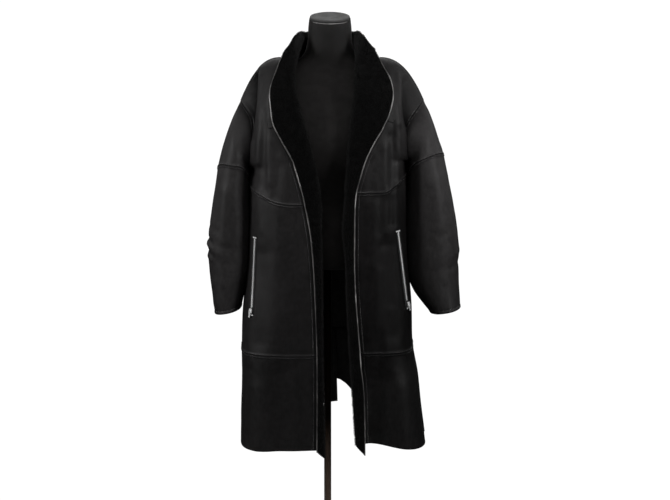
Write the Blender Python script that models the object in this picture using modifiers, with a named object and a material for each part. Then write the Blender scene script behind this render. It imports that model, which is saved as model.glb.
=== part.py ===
"""A long shearling coat, worn open on a limbless dress form with a wooden pole and a round foot.

Metres, +Z up. The origin is the middle of the foot's underside, on the pole's axis. The coat faces -Y, and left
and right are as seen from the front: left is -X. Leather is the outer side of every panel, and the fur lies inside
it, except on the collar and the long front edges, which are turned back so that their fur faces out.
"""

import math
from collections import namedtuple

import bpy
import bmesh
from mathutils import Matrix, Vector
from mathutils.bvhtree import BVHTree

# ---------------------------------------------------------------- driving dimensions
WALL = 0.008                 # leather with its cropped fur
SEAM_GAP = 0.0003            # between two sewn pieces
FOLD_RADIUS = 0.0015         # inside the turned-back edge, on the leather side
COAT_CENTRE_X = 0.0125       # the coat hangs a little to the right of the pole
BACK_CENTRE_X = 0.010        # nape and centre-back line of the coat
COLLAR_REACH = 0.122         # from the neck's axis to the collar's free edge, at the back
COLLAR_EDGE_DROP = 0.026     # how much lower that edge lies at the nape than on the shoulder
VENT_X = 0.022               # the vent in the lower back
SHOULDER_DIP = 0.011         # hollow of the shoulder seam between neck and shoulder
COLLAR_LIFT = 0.003          # the collar stands off the shoulders by this much
NAPE_LIFT = 0.011            # and off the back
SHOULDER_COLUMNS = 4         # steps across the turned-back edge
BODY_COLUMNS = 9             # steps from the turned-back edge to the armhole or side seam
NECK_COLUMNS = 4             # steps from the shoulder seam to the nape
ARMHOLE_ROWS = 11
TURN_LENGTH = 0.09           # a radian of turning counts as this much length when points are spread
SIDE_ROWS = 2
MIDDLE_ROWS = 6
LOWER_ROWS = 5

FORM_CENTRE_X = 0.0065       # the form stands a little off the pole's axis, as shown
REST_GAP = 0.0006            # the coat rests this close to the form's shoulders
POLE_RADIUS = 0.0095
FOOT_RADIUS = 0.17
FOOT_HEIGHT = 0.014
FORM_BASE_Z = 0.858

# ---------------------------------------------------------------- sections of the coat's body
# One row for each section, from the shoulder seam down. The heights are where the section meets the fold of the
# turned-back edge, that edge's free side, the armhole or side seam, and the centre back. side_left and side_right
# are the armhole or side seam, front_y and back_y the middle of the front and back, and armhole_front and
# armhole_back how far the armhole lies before and behind the side. lift raises the right side.
Section = namedtuple("Section", "fold_z edge_z side_z back_z side_left side_right front_y back_y "
                                "armhole_front armhole_back turn droop back_droop square lift")
SECTIONS = [
    #       fold   edge   side   back    left    right   front    back    a.front  a.back turn droop b.droop square lift
    Section(1.447, 1.390, 1.282, 1.447, -0.2210,  0.2460,  0.0000, 0.0780,  0.0000, 0.0000, 20, 2.45, 1.50, 2.0, 0.000),
    Section(1.442, 1.386, 1.276, 1.432, -0.2180,  0.2410, -0.0220, 0.0850, -0.0120, 0.0130, 30, 2.50, 1.50, 2.1, 0.000),
    Section(1.425, 1.372, 1.260, 1.408, -0.2060,  0.2280, -0.0500, 0.0940, -0.0280, 0.0300, 42, 2.30, 1.50, 2.3, 0.000),
    Section(1.395, 1.345, 1.238, 1.372, -0.1930,  0.2110, -0.0760, 0.1050, -0.0450, 0.0480, 52, 1.90, 1.45, 2.4, 0.000),
    Section(1.355, 1.312, 1.210, 1.328, -0.1870,  0.1970, -0.0980, 0.1160, -0.0600, 0.0640, 60, 1.60, 1.35, 2.5, 0.002),
    Section(1.305, 1.270, 1.180, 1.278, -0.1860,  0.1920, -0.1160, 0.1250, -0.0700, 0.0750, 64, 1.40, 1.20, 2.6, 0.006),
    Section(1.245, 1.218, 1.150, 1.225, -0.1870,  0.1930, -0.1280, 0.1320, -0.0720, 0.0780, 68, 1.20, 1.10, 2.7, 0.010),
    Section(1.185, 1.165, 1.122, 1.170, -0.1900,  0.1960, -0.1345, 0.1370, -0.0580, 0.0640, 76, 1.10, 1.05, 2.8, 0.016),
    Section(1.125, 1.112, 1.102, 1.118, -0.1950,  0.2000, -0.1380, 0.1400,  0.0000, 0.0000, 90, 1.00, 1.00, 2.9, 0.024),
    Section(1.031, 1.033, 1.063, 1.050, -0.1985,  0.2020, -0.1410, 0.1430,  0.0000, 0.0000, 90, 1.00, 1.00, 3.0, 0.030),
    Section(0.945, 0.945, 0.960, 0.955, -0.2010,  0.2040, -0.1440, 0.1480,  0.0000, 0.0000, 90, 1.00, 1.00, 3.1, 0.020),
    Section(0.850, 0.850, 0.855, 0.855, -0.2060,  0.2080, -0.1480, 0.1550,  0.0000, 0.0000, 90, 1.00, 1.00, 3.2, 0.013),
    Section(0.745, 0.745, 0.745, 0.750, -0.2195,  0.2178, -0.1530, 0.1630,  0.0000, 0.0000, 90, 1.00, 1.00, 3.4, 0.009),
    Section(0.645, 0.645, 0.643, 0.650, -0.2235,  0.2215, -0.1570, 0.1710,  0.0000, 0.0000, 90, 1.00, 1.00, 3.6, 0.007),
    Section(0.560, 0.560, 0.560, 0.570, -0.2235,  0.2362, -0.1610, 0.1790,  0.0000, 0.0000, 90, 1.00, 1.00, 3.8, 0.008),
    Section(0.480, 0.480, 0.480, 0.500, -0.2260,  0.2450, -0.1650, 0.1860,  0.0000, 0.0000, 90, 1.00, 1.00, 3.9, 0.010),
    Section(0.400, 0.400, 0.396, 0.434, -0.2280,  0.2560, -0.1690, 0.1930,  0.0000, 0.0000, 90, 1.00, 1.00, 4.0, 0.014),
]
UNDERARM = 8                 # rows of SECTIONS where the armhole, the upper front and the middle front end
CHEST_SEAM = 9
SKIRT_SEAM = 13
HEM = 16

# Height and X of the fold and of the free side of each turned-back edge.
LinePoint = namedtuple("LinePoint", "z x")
FOLD_LINE = {
    "left": [LinePoint(1.447, -0.0685), LinePoint(1.395, -0.0780), LinePoint(1.334, -0.0844),
             LinePoint(1.266, -0.0718), LinePoint(1.168, -0.0445), LinePoint(1.054, -0.0223),
             LinePoint(0.979, -0.0199), LinePoint(0.790, -0.0176), LinePoint(0.380, -0.0179)],
    "right": [LinePoint(1.447, 0.0780), LinePoint(1.395, 0.0765), LinePoint(1.341, 0.0737),
              LinePoint(1.286, 0.0712), LinePoint(1.218, 0.0615), LinePoint(1.127, 0.0538),
              LinePoint(1.044, 0.0489), LinePoint(0.969, 0.0440), LinePoint(0.881, 0.0515),
              LinePoint(0.792, 0.0541), LinePoint(0.614, 0.0643), LinePoint(0.380, 0.0790)],
}
EDGE_LINE = {
    "left": [LinePoint(1.392, -0.1145), LinePoint(1.351, -0.1273), LinePoint(1.308, -0.1410),
             LinePoint(1.271, -0.1395), LinePoint(1.230, -0.1331), LinePoint(1.178, -0.1069),
             LinePoint(1.139, -0.0847), LinePoint(1.062, -0.0626), LinePoint(0.962, -0.0429),
             LinePoint(0.856, -0.0331), LinePoint(0.647, -0.0258), LinePoint(0.380, -0.0262)],
    "right": [LinePoint(1.394, 0.1275), LinePoint(1.358, 0.1440), LinePoint(1.334, 0.1570),
              LinePoint(1.300, 0.1634), LinePoint(1.265, 0.1570), LinePoint(1.232, 0.1430),
              LinePoint(1.164, 0.1063), LinePoint(1.124, 0.0895), LinePoint(1.054, 0.0717),
              LinePoint(0.960, 0.0685), LinePoint(0.825, 0.0700), LinePoint(0.614, 0.0851),
              LinePoint(0.530, 0.0928), LinePoint(0.380, 0.0950)],
}
FOLD_TAIL = {"left": 0.020, "right": 0.000}      # how far the fold and the free edge hang below the hem
EDGE_TAIL = {"left": 0.004, "right": 0.030}

# The front hem's wave: Z against X.
HEM_WAVE = {
    "left": [LinePoint(0.003, -0.018), LinePoint(0.002, -0.070), LinePoint(0.000, -0.130),
             LinePoint(-0.002, -0.180), LinePoint(0.000, -0.230)],
    "right": [LinePoint(0.005, 0.075), LinePoint(0.007, 0.110), LinePoint(0.003, 0.150),
              LinePoint(-0.002, 0.195), LinePoint(-0.005, 0.225), LinePoint(-0.006, 0.258)],
}

# Rise of the back hem beside the vent, and how far it reaches to the side.
VENT_RISE = {"left": 0.006, "right": 0.070}
VENT_RISE_REACH = {"left": 0.09, "right": 0.075}

# ---------------------------------------------------------------- sections of the sleeves
# outer and inner are the two ends of a section as seen from the front, half_depth its half-width front to back.
SleeveRing = namedtuple("SleeveRing", "outer_x outer_z inner_x inner_z middle_y half_depth skew")
SLEEVES = {
    "left": [
        SleeveRing(-0.2440, 1.234, -0.1960, 1.097, 0.002, 0.086, 1.0),
        SleeveRing(-0.2640, 1.179, -0.1980, 1.089, 0.002, 0.094, 1.4),
        SleeveRing(-0.2800, 1.120, -0.1990, 1.072, 0.002, 0.098, 1.8),
        SleeveRing(-0.2895, 1.060, -0.1995, 1.026, 0.000, 0.099, 1.4),
        SleeveRing(-0.3000, 0.998, -0.2000, 0.970, -0.002, 0.096, 1.0),
        SleeveRing(-0.3100, 0.920, -0.2010, 0.905, -0.004, 0.091, 1.0),
        SleeveRing(-0.3070, 0.855, -0.2050, 0.850, -0.008, 0.084, 1.0),
        SleeveRing(-0.3000, 0.795, -0.2120, 0.800, -0.013, 0.076, 1.0),
        SleeveRing(-0.2930, 0.733, -0.2235, 0.748, -0.018, 0.068, 1.0),
    ],
    "right": [
        SleeveRing(0.2680, 1.234, 0.2020, 1.114, 0.002, 0.086, 1.0),
        SleeveRing(0.2870, 1.179, 0.2040, 1.102, 0.002, 0.093, 1.4),
        SleeveRing(0.2995, 1.142, 0.2050, 1.086, 0.002, 0.096, 1.8),
        SleeveRing(0.3165, 1.062, 0.2050, 1.035, 0.000, 0.096, 1.4),
        SleeveRing(0.3295, 0.998, 0.2050, 0.970, -0.003, 0.092, 1.0),
        SleeveRing(0.3408, 0.915, 0.2050, 0.905, -0.007, 0.086, 1.0),
        SleeveRing(0.3405, 0.850, 0.2070, 0.850, -0.012, 0.079, 1.0),
        SleeveRing(0.3425, 0.795, 0.2215, 0.795, -0.018, 0.073, 1.0),
        SleeveRing(0.3450, 0.750, 0.2660, 0.735, -0.024, 0.067, 1.0),
    ],
}
SLEEVE_SEAM = 3              # ring where the sleeve head is sewn on; ring 0 is the armhole
HEAD_ROWS = 5
SLEEVE_ROWS = 10
SLEEVE_CLEARANCE = 0.0025    # a sleeve that hangs against the body keeps this clear of it

# ---------------------------------------------------------------- the largest folds
# Each is a soft trough (depth > 0) or ridge (depth < 0) along a line seen from the front, on the front or the back.
Fold = namedtuple("Fold", "face x0 z0 x1 z1 width depth")
FOLDS = [
    Fold("front", -0.205, 0.60, -0.212, 0.42, 0.016, 0.005),
    Fold("front", -0.120, 0.60, -0.125, 0.38, 0.030, 0.006),
    Fold("front", -0.165, 0.90, -0.172, 0.68, 0.022, 0.005),
    Fold("front", -0.150, 1.22, -0.175, 1.08, 0.018, 0.004),
    Fold("front", 0.135, 0.58, 0.128, 0.38, 0.026, 0.014),
    Fold("front", 0.195, 0.56, 0.203, 0.38, 0.024, -0.012),
    Fold("front", 0.150, 0.92, 0.165, 0.70, 0.022, 0.005),
    Fold("front", 0.160, 1.20, 0.175, 1.10, 0.018, 0.004),
    Fold("back", -0.090, 1.15, -0.125, 0.42, 0.040, 0.010),
    Fold("back", 0.105, 1.15, 0.150, 0.42, 0.040, 0.010),
    Fold("back", -0.020, 0.95, -0.030, 0.70, 0.040, -0.006),
    Fold("sleeve", -0.312, 0.935, -0.235, 0.905, 0.011, 0.007),
    Fold("sleeve", -0.312, 0.885, -0.240, 0.868, 0.011, 0.007),
    Fold("sleeve", -0.245, 0.965, -0.300, 0.985, 0.014, 0.004),
    Fold("sleeve", 0.345, 0.930, 0.270, 0.905, 0.013, 0.006),
    Fold("sleeve", 0.340, 0.870, 0.255, 0.850, 0.013, 0.006),
    Fold("sleeve", 0.270, 0.985, 0.320, 1.010, 0.016, 0.004),
]

# ---------------------------------------------------------------- zips and tabs, as seen from the front
ZipLine = namedtuple("ZipLine", "top_x top_z bottom_x bottom_z")
ZIPS = {"left": ZipLine(-0.1826, 0.941, -0.1924, 0.744), "right": ZipLine(0.1775, 0.960, 0.2040, 0.760)}
ZIP_WIDTH = 0.009
ZIP_THICKNESS = 0.0018
ZIP_STEPS = 16
LIE_GAP = 0.0010             # a flat strip stays this clear of the facets that it lies on
BAR_SINK = 0.0005            # a bar lies this much nearer to the leather than the tape does
BAR_SIZE = {"top": (0.015, 0.003, 0.0022), "bottom": (0.0115, 0.003, 0.0022)}
SLIDER_SIZE = (0.0085, 0.0115, 0.0032)
ARCH_LENGTH = 0.0072
ARCH_HEIGHT = 0.0034
ARCH_WINDOW = (0.0044, 0.0020)
ARCH_THICKNESS = 0.0015
PULL_WIDTH = 0.0050
PULL_LENGTH = 0.0170
PULL_THICKNESS = 0.0010
PULL_WINDOW = (0.0022, 0.0046)
PULL_CROSSBAR = 0.0010
PIVOT_HEIGHT = 0.0010        # the pull's crossbar above the slider's face
TabPlace = namedtuple("TabPlace", "x z turn")
TABS = {"left": TabPlace(-0.1360, 1.228, 12), "right": TabPlace(0.1560, 1.243, -20)}
TAB_SIZE = (0.024, 0.013, 0.0012)

# ---------------------------------------------------------------- the dress form
FormRing = namedtuple("FormRing", "z half_width front back square")
FORM_RINGS = [
    FormRing(0.8580, 0.150, -0.098, 0.104, 2.3),
    FormRing(0.8640, 0.158, -0.104, 0.110, 2.3),
    FormRing(0.9100, 0.160, -0.104, 0.112, 2.3),
    FormRing(0.9600, 0.148, -0.096, 0.102, 2.2),
    FormRing(1.0200, 0.130, -0.088, 0.086, 2.2),
    FormRing(1.0800, 0.134, -0.098, 0.088, 2.2),
    FormRing(1.1300, 0.144, -0.112, 0.096, 2.2),
    FormRing(1.1800, 0.152, -0.116, 0.104, 2.3),
    FormRing(1.2300, 0.160, -0.106, 0.108, 2.4),
    FormRing(1.2700, 0.170, -0.092, 0.106, 2.4),
    FormRing(1.3000, 0.176, -0.080, 0.100, 2.5),
    FormRing(1.3250, 0.175, -0.068, 0.088, 2.5),
    FormRing(1.3450, 0.165, -0.056, 0.072, 2.3),
    FormRing(1.3600, 0.142, -0.050, 0.064, 2.2),
    FormRing(1.3740, 0.108, -0.048, 0.060, 2.1),
    FormRing(1.3880, 0.078, -0.049, 0.057, 2.0),
    FormRing(1.4050, 0.064, -0.051, 0.055, 2.0),
    FormRing(1.4300, 0.0570, -0.052, 0.054, 2.0),
    FormRing(1.4640, 0.0550, -0.052, 0.052, 2.0),
    FormRing(1.4880, 0.0525, -0.050, 0.050, 2.0),
]
FORM_COLUMNS = 32
FORM_NECK_Z = 1.38            # above this the form stands free in the neck opening
CAP_TILT = math.radians(12)   # the neck's top leans forward
CAP_RADIUS = 0.0508
CAP_HEIGHT = 0.006

Vec = Vector
SIDES = {"left": -1, "right": 1}


# ---------------------------------------------------------------- small helpers
def spline(values, t):
    """Catmull-Rom through evenly spaced values, read at t (0 is the first of them)."""
    last = len(values) - 1
    t = min(max(t, 0.0), float(last))
    i = min(int(t), last - 1)
    f = t - i
    p1, p2 = values[i], values[i + 1]
    p0 = values[i - 1] if i > 0 else p1 * 2 - p2
    p3 = values[i + 2] if i + 2 <= last else p2 * 2 - p1
    a = p1 * 2
    b = (p2 - p0) * f
    c = (p0 * 2 - p1 * 5 + p2 * 4 - p3) * f * f
    d = (p1 * 3 - p0 - p2 * 3 + p3) * f ** 3
    return (a + b + c + d) * 0.5


def section_at(v):
    """The body section at row v of SECTIONS, which may lie between two rows."""
    return Section(*(spline(column, v) for column in zip(*SECTIONS)))


def line_x(points, z):
    """X of a line of LinePoints at height z, on a smooth curve from point to point."""
    if z >= points[0].z:
        return points[0].x
    for i in range(len(points) - 1):
        if z >= points[i + 1].z:
            f = (points[i].z - z) / (points[i].z - points[i + 1].z)
            return spline([p.x for p in points], i + f)
    return points[-1].x


def resample(points, count):
    """The curve through points as count + 1 points, closer together where it turns."""
    lengths = [0.0]
    way = points[1] - points[0]
    for a, b in zip(points, points[1:]):
        step = b - a
        lengths.append(lengths[-1] + step.length + TURN_LENGTH * way.angle(step))
        way = step
    result = [points[0].copy()]
    i = 0
    for k in range(1, count):
        target = lengths[-1] * k / count
        while lengths[i + 1] < target:
            i += 1
        f = (target - lengths[i]) / (lengths[i + 1] - lengths[i])
        result.append(points[i].lerp(points[i + 1], f))
    result.append(points[-1].copy())
    return result


def fold_offset(face, point):
    """How far the folds push a point of a face inwards."""
    total = 0.0
    for fold in FOLDS:
        if fold.face != face:
            continue
        start = Vec((fold.x0, 0, fold.z0))
        end = Vec((fold.x1, 0, fold.z1))
        flat = Vec((point.x, 0, point.z))
        along = (flat - start).dot(end - start) / (end - start).length_squared
        nearest = start.lerp(end, min(max(along, 0.0), 1.0))
        total += fold.depth * math.exp(-((flat - nearest).length / fold.width) ** 2)
    return total


def quarter(start, end, turn, square, droop, steps=48):
    """A rounded corner seen from above, from the middle of the front or back round to the side."""
    end_angle = math.radians(turn)
    reach = math.sin(end_angle) ** (2 / square)
    depth = 1 - max(math.cos(end_angle), 0.0) ** (2 / square)
    points = []
    for k in range(steps + 1):
        angle = end_angle * k / steps
        across = math.sin(angle) ** (2 / square) / reach
        back = (1 - max(math.cos(angle), 0.0) ** (2 / square)) / depth
        points.append(Vec((start.x + (end.x - start.x) * across,
                           start.y + (end.y - start.y) * back,
                           start.z + (end.z - start.z) * across ** droop)))
    return points


# ---------------------------------------------------------------- the coat's body as a net of points
def hem_wave(side, x, v):
    """How much the front hem's wave lifts a point at section v."""
    rise = max(0.0, (v - SKIRT_SEAM) / (HEM - SKIRT_SEAM))
    points = HEM_WAVE[side]
    away = abs(x)
    for before, after in zip(points, points[1:]):
        if away <= abs(after.x):
            f = (away - abs(before.x)) / (abs(after.x) - abs(before.x))
            return rise * (before.z + (after.z - before.z) * max(f, 0.0))
    return rise * points[-1].z


def side_point(side, v, face):
    """Where section v meets the armhole, or the side seam below it."""
    s = section_at(v)
    if face == "front":
        y = s.armhole_front
    else:
        y = s.armhole_back
    x = s.side_left if side == "left" else s.side_right
    lift = s.lift if side == "right" else 0.0
    z = s.side_z + lift + hem_wave(side, x, v)
    return Vec((x, min(y, 0) if face == "front" else max(y, 0), z))


def front_row(side, v):
    """One row of a front, from the fold of its turned-back edge to the armhole or side seam."""
    s = section_at(v)
    lift = s.lift if side == "right" else 0.0
    fold_z = s.fold_z + lift
    edge_z = s.edge_z + lift
    fold = Vec((line_x(FOLD_LINE[side], fold_z), s.front_y, fold_z))
    edge = Vec((line_x(EDGE_LINE[side], edge_z), s.front_y, edge_z))
    dip = SHOULDER_DIP * max(0.0, 1 - v / 3)
    row = []
    for k in range(SHOULDER_COLUMNS):
        f = k / SHOULDER_COLUMNS
        row.append(fold.lerp(edge, f) - Vec((0, 0, dip * math.sin(math.pi * f))))
    corner = quarter(edge, side_point(side, v, "front"), s.turn, s.square, s.droop)
    row.extend(resample(corner, BODY_COLUMNS))
    for point in row[:-1]:
        point.z += hem_wave(side, point.x, v)
    return row


def hem_rise(side, x):
    """The back hem rises towards the vent."""
    away = abs(x - VENT_X) / VENT_RISE_REACH[side]
    return VENT_RISE[side] * max(0.0, 1 - away ** 2) if away < 1 else 0.0


def back_row(side, v):
    """One row of half a back, from the centre back to the armhole or side seam."""
    s = section_at(v)
    lift = s.lift if side == "right" else 0.0
    columns = NECK_COLUMNS + SHOULDER_COLUMNS + BODY_COLUMNS
    centre_x = BACK_CENTRE_X + (VENT_X - BACK_CENTRE_X) * max(0.0, (v - CHEST_SEAM) / (HEM - CHEST_SEAM))
    start = Vec((centre_x, s.back_y, s.back_z))
    end = side_point(side, v, "back")
    if v > 0:
        row = resample(quarter(start, end, s.turn, s.square, s.back_droop), columns)
    else:
        seam = front_row(side, 0)
        row = []
        for k in range(NECK_COLUMNS):
            angle = 0.5 * math.pi * k / NECK_COLUMNS
            row.append(Vec((start.x + (seam[0].x - start.x) * math.sin(angle),
                            s.back_y * math.cos(angle), seam[0].z)))
        row.extend(seam)
    rise = max(0.0, (v - SKIRT_SEAM) / (HEM - SKIRT_SEAM))
    for point in row[:-1]:
        point.z += rise * hem_rise(side, point.x)
    return row


def levels():
    """The rows of the net: (v, name of the seam at that row or None)."""
    rows = [UNDERARM * k / ARMHOLE_ROWS for k in range(ARMHOLE_ROWS)]
    rows += [UNDERARM + (CHEST_SEAM - UNDERARM) * k / SIDE_ROWS for k in range(SIDE_ROWS)]
    rows += [CHEST_SEAM + (SKIRT_SEAM - CHEST_SEAM) * k / MIDDLE_ROWS for k in range(MIDDLE_ROWS)]
    rows += [SKIRT_SEAM + (HEM - SKIRT_SEAM) * k / LOWER_ROWS for k in range(LOWER_ROWS + 1)]
    return rows


ROWS = levels()
CHEST_ROW = ARMHOLE_ROWS + SIDE_ROWS
SKIRT_ROW = CHEST_ROW + MIDDLE_ROWS
HEM_ROW = SKIRT_ROW + LOWER_ROWS


def sleeve_net(side, armhole, tree):
    """Rings of a sleeve, from the armhole's own points to the cuff."""
    around = len(armhole)
    rings = [armhole]
    centre = sum(armhole, Vec()) / around
    height = (armhole[0].z - armhole[around // 2].z) / 2
    depth = (max(p.y for p in armhole) - min(p.y for p in armhole)) / 2
    for k, ring in enumerate(SLEEVES[side]):
        middle_x = (ring.outer_x + ring.inner_x) / 2
        half_x = (ring.outer_x - ring.inner_x) / 2
        points = []
        for i, point in enumerate(armhole):
            even = 2 * math.pi * i / around
            start = math.atan2((centre.y - point.y) / depth, (point.z - armhole[0].z) / height + 1)
            start = start % (2 * math.pi) if i else 0.0
            angle = start + (even - start) * min(1.0, k / SLEEVE_SEAM)
            down = ((1 - math.cos(angle)) / 2) ** ring.skew
            points.append(Vec((middle_x + half_x * math.cos(angle),
                               ring.middle_y - ring.half_depth * math.sin(angle),
                               ring.outer_z + (ring.inner_z - ring.outer_z) * down)))
        rings.append(points)
    last = len(rings) - 1
    positions = [SLEEVE_SEAM * k / HEAD_ROWS for k in range(HEAD_ROWS)]
    positions += [SLEEVE_SEAM + (last - SLEEVE_SEAM) * k / SLEEVE_ROWS for k in range(SLEEVE_ROWS + 1)]
    net = []
    for position in positions:
        row = [spline([r[i] for r in rings], position) for i in range(around)]
        if position > 1:
            for point in row:
                middle = spline([centre] + [Vec(((r.outer_x + r.inner_x) / 2, r.middle_y, point.z))
                                            for r in SLEEVES[side]], position)
                out = Vec((point.x - middle.x, point.y - middle.y, 0)).normalized()
                point -= out * fold_offset("sleeve", point)
        net.append([kept_clear(tree, point, SLEEVE_CLEARANCE) for point in row] if net else row)
    return net


class Net:
    """All the coat's panels as rows of points, with normals shared along the seams."""

    def __init__(self):
        self.grids = {}
        self.closed = {}
        self.normal_sums = {}
        self.armhole_normals = {}

    def add(self, name, grid, closed=False):
        """Adds a grid of rows; closed joins each row's end to its start."""
        self.grids[name] = grid
        self.closed[name] = closed
        columns = len(grid[0])
        last = columns if closed else columns - 1
        for r in range(len(grid) - 1):
            for c in range(last):
                n = (c + 1) % columns
                quad = (grid[r][c], grid[r][n], grid[r + 1][n], grid[r + 1][c])
                normal = (quad[2] - quad[0]).cross(quad[1] - quad[3])
                for point in quad:
                    key = self.key(point)
                    self.normal_sums[key] = self.normal_sums.get(key, Vec()) + normal.normalized()

    @staticmethod
    def key(point):
        return tuple(round(value * 1e5) for value in point)

    def normal(self, point):
        key = self.key(point)
        if key in self.armhole_normals:
            return self.armhole_normals[key]
        return self.normal_sums[key].normalized()

    def set_armhole_normals(self, armhole, next_ring):
        """Gives the seam's points a normal halfway between body and sleeve, also where they meet in a sharp valley."""
        middle = sum(armhole, Vec()) / len(armhole)
        for i, point in enumerate(armhole):
            along = (armhole[(i + 1) % len(armhole)] - armhole[i - 1]).normalized()
            body_out = self.normal_sums[self.key(point)]
            body_out = (body_out - along * body_out.dot(along)).normalized()
            body_way = body_out.cross(along)
            if body_way.dot(point - middle) < 0:
                body_way.negate()
            sleeve_way = next_ring[i] - point
            sleeve_way = (sleeve_way - along * sleeve_way.dot(along)).normalized()
            sleeve_out = sleeve_way.cross(along)
            if sleeve_out.dot(point - middle) < 0:
                sleeve_out.negate()
            total = body_out + body_way + sleeve_out + sleeve_way
            self.armhole_normals[self.key(point)] = total.normalized()


def orient(grid, outwards_from):
    """Turns a grid's rows round if its quads would face the coat's inside."""
    r, c = len(grid) // 2, len(grid[0]) // 2
    normal = (grid[r + 1][c + 1] - grid[r][c]).cross(grid[r][c + 1] - grid[r + 1][c])
    if normal.dot(grid[r][c] - outwards_from) < 0:
        return [list(reversed(row)) for row in grid]
    return grid


def pushed_by_folds(grid, face):
    """Moves a front's or back's points by its folds, but for its seams."""
    last = len(grid[0]) - 1
    inwards = 1 if face == "front" else -1
    for row in grid[1:]:
        for c, point in enumerate(row):
            hold = min(1.0, (last - c) / 2)
            if face == "back":
                hold *= min(1.0, c / 2)
            point.y += inwards * fold_offset(face, point) * hold


def make_net():
    """The leather side of the whole coat, and a search tree of its body."""
    net = Net()
    inside = Vec((COAT_CENTRE_X, 0.0, 1.0))
    armholes = {}
    for side in SIDES:
        front = [front_row(side, v) for v in ROWS]
        back = [back_row(side, v) for v in ROWS]
        pushed_by_folds(front, "front")
        pushed_by_folds(back, "back")
        armholes[side] = [front[r][-1] for r in range(ARMHOLE_ROWS + 1)]
        armholes[side] += [back[r][-1] for r in range(ARMHOLE_ROWS - 1, 0, -1)]
        net.add("front_" + side, orient(front, inside))
        net.add("back_" + side, orient(back, inside))
    tree = surface_tree(net)
    for side in SIDES:
        sleeve = sleeve_net(side, armholes[side], tree)
        net.set_armhole_normals(sleeve[0], sleeve[1])
        middle = sum(sleeve[len(sleeve) // 2], Vec()) / len(armholes[side])
        net.add("sleeve_" + side, orient(sleeve, middle), closed=True)
    return net, tree


def surface_tree(net):
    """The leather side of the coat's body as a search tree."""
    points, faces = [], []
    for grid in net.grids.values():
        columns = len(grid[0])
        start = len(points)
        for row in grid:
            points.extend(row)
        for r in range(len(grid) - 1):
            for c in range(columns - 1):
                a = start + r * columns + c
                faces.append([a, a + columns, a + columns + 1, a + 1])
    return BVHTree.FromPolygons(points, faces)


def kept_clear(tree, point, gap):
    """The point, moved out where it is nearer to the body than gap."""
    place, normal, _, _ = tree.find_nearest(point)
    away = (point - place).dot(normal)
    if away < gap:
        return point + normal * (gap - away)
    return point


# ---------------------------------------------------------------- solids from grids
def new_object(name, mesh, collection, material):
    obj = bpy.data.objects.new(name, mesh)
    collection.objects.link(obj)
    mesh.materials.append(material)
    return obj


def mesh_from_faces(name, points, faces):
    """A closed mesh with its faces turned outwards."""
    mesh = bpy.data.meshes.new(name)
    mesh.from_pydata(points, [], faces)
    bm = bmesh.new()
    bm.from_mesh(mesh)
    bmesh.ops.recalc_face_normals(bm, faces=bm.faces[:])
    bm.to_mesh(mesh)
    bm.free()
    mesh.update()
    return mesh


def parted(towards, along, rim):
    """The unit step away from a seam, square to the seam and to its rim."""
    normal = rim.cross(along).normalized()
    return normal if normal.dot(towards) > 0 else -normal


def drawn_in(outer, inner, r, c, closed, sides):
    """The step that parts a point on a seam from the piece beyond it."""
    rows, columns = len(outer), len(outer[0])
    point = outer[r][c]
    rim = inner[r][c] - point
    step = Vec()
    if closed:
        along_row = outer[r][(c + 1) % columns] - outer[r][c - 1]
    else:
        along_row = outer[r][min(c + 1, columns - 1)] - outer[r][max(c - 1, 0)]
    along_column = outer[min(r + 1, rows - 1)][c] - outer[max(r - 1, 0)][c]
    if r == 0 and "top" in sides:
        step += parted(outer[1][c] - point, along_row, rim)
    if r == rows - 1 and "bottom" in sides:
        step += parted(outer[r - 1][c] - point, along_row, rim)
    if not closed:
        if c == 0 and "start" in sides:
            step += parted(outer[r][1] - point, along_column, rim)
        if c == columns - 1 and "end" in sides:
            step += parted(outer[r][c - 1] - point, along_column, rim)
    return step * (SEAM_GAP / 2)


def panel_mesh(name, outer, inner, closed=False, sides=("top", "bottom", "start", "end")):
    """A wall between two grids of the same size, parted from its neighbours along its sides.

    Each rim quad is cut along the same diagonal as that of the piece sewn to it.
    """
    rows, columns = len(outer), len(outer[0])
    points = []
    for grid in (outer, inner):
        for r in range(rows):
            for c in range(columns):
                points.append(grid[r][c] + drawn_in(outer, inner, r, c, closed, sides))
    shift = rows * columns

    def index(layer, r, c):
        return layer * shift + r * columns + c % columns

    faces = []
    last = columns if closed else columns - 1
    for r in range(rows - 1):
        for c in range(last):
            faces.append([index(0, r, c), index(0, r, c + 1), index(0, r + 1, c + 1), index(0, r + 1, c)])
            faces.append([index(1, r + 1, c), index(1, r + 1, c + 1), index(1, r, c + 1), index(1, r, c)])
    rims = [((r, c), (r, (c + 1) % columns)) for r in (0, rows - 1) for c in range(last)]
    if not closed:
        rims += [((r, c), (r + 1, c)) for c in (0, columns - 1) for r in range(rows - 1)]
    for first, second in rims:
        if tuple(outer[first[0]][first[1]]) > tuple(outer[second[0]][second[1]]):
            first, second = second, first
        faces.append([index(0, *first), index(0, *second), index(1, *second)])
        faces.append([index(0, *first), index(1, *second), index(1, *first)])
    return mesh_from_faces(name, points, faces)


def body_panel(name, net, grid_name, first, last, collection, material):
    """A panel of the coat's body or sleeve between two of the net's rows, leather out and fur in."""
    outer = net.grids[grid_name][first:last + 1]
    inner = [[point - net.normal(point) * WALL for point in row] for row in outer]
    mesh = panel_mesh(name, outer, inner, closed=net.closed[grid_name])
    return new_object(name, mesh, collection, material)


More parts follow.
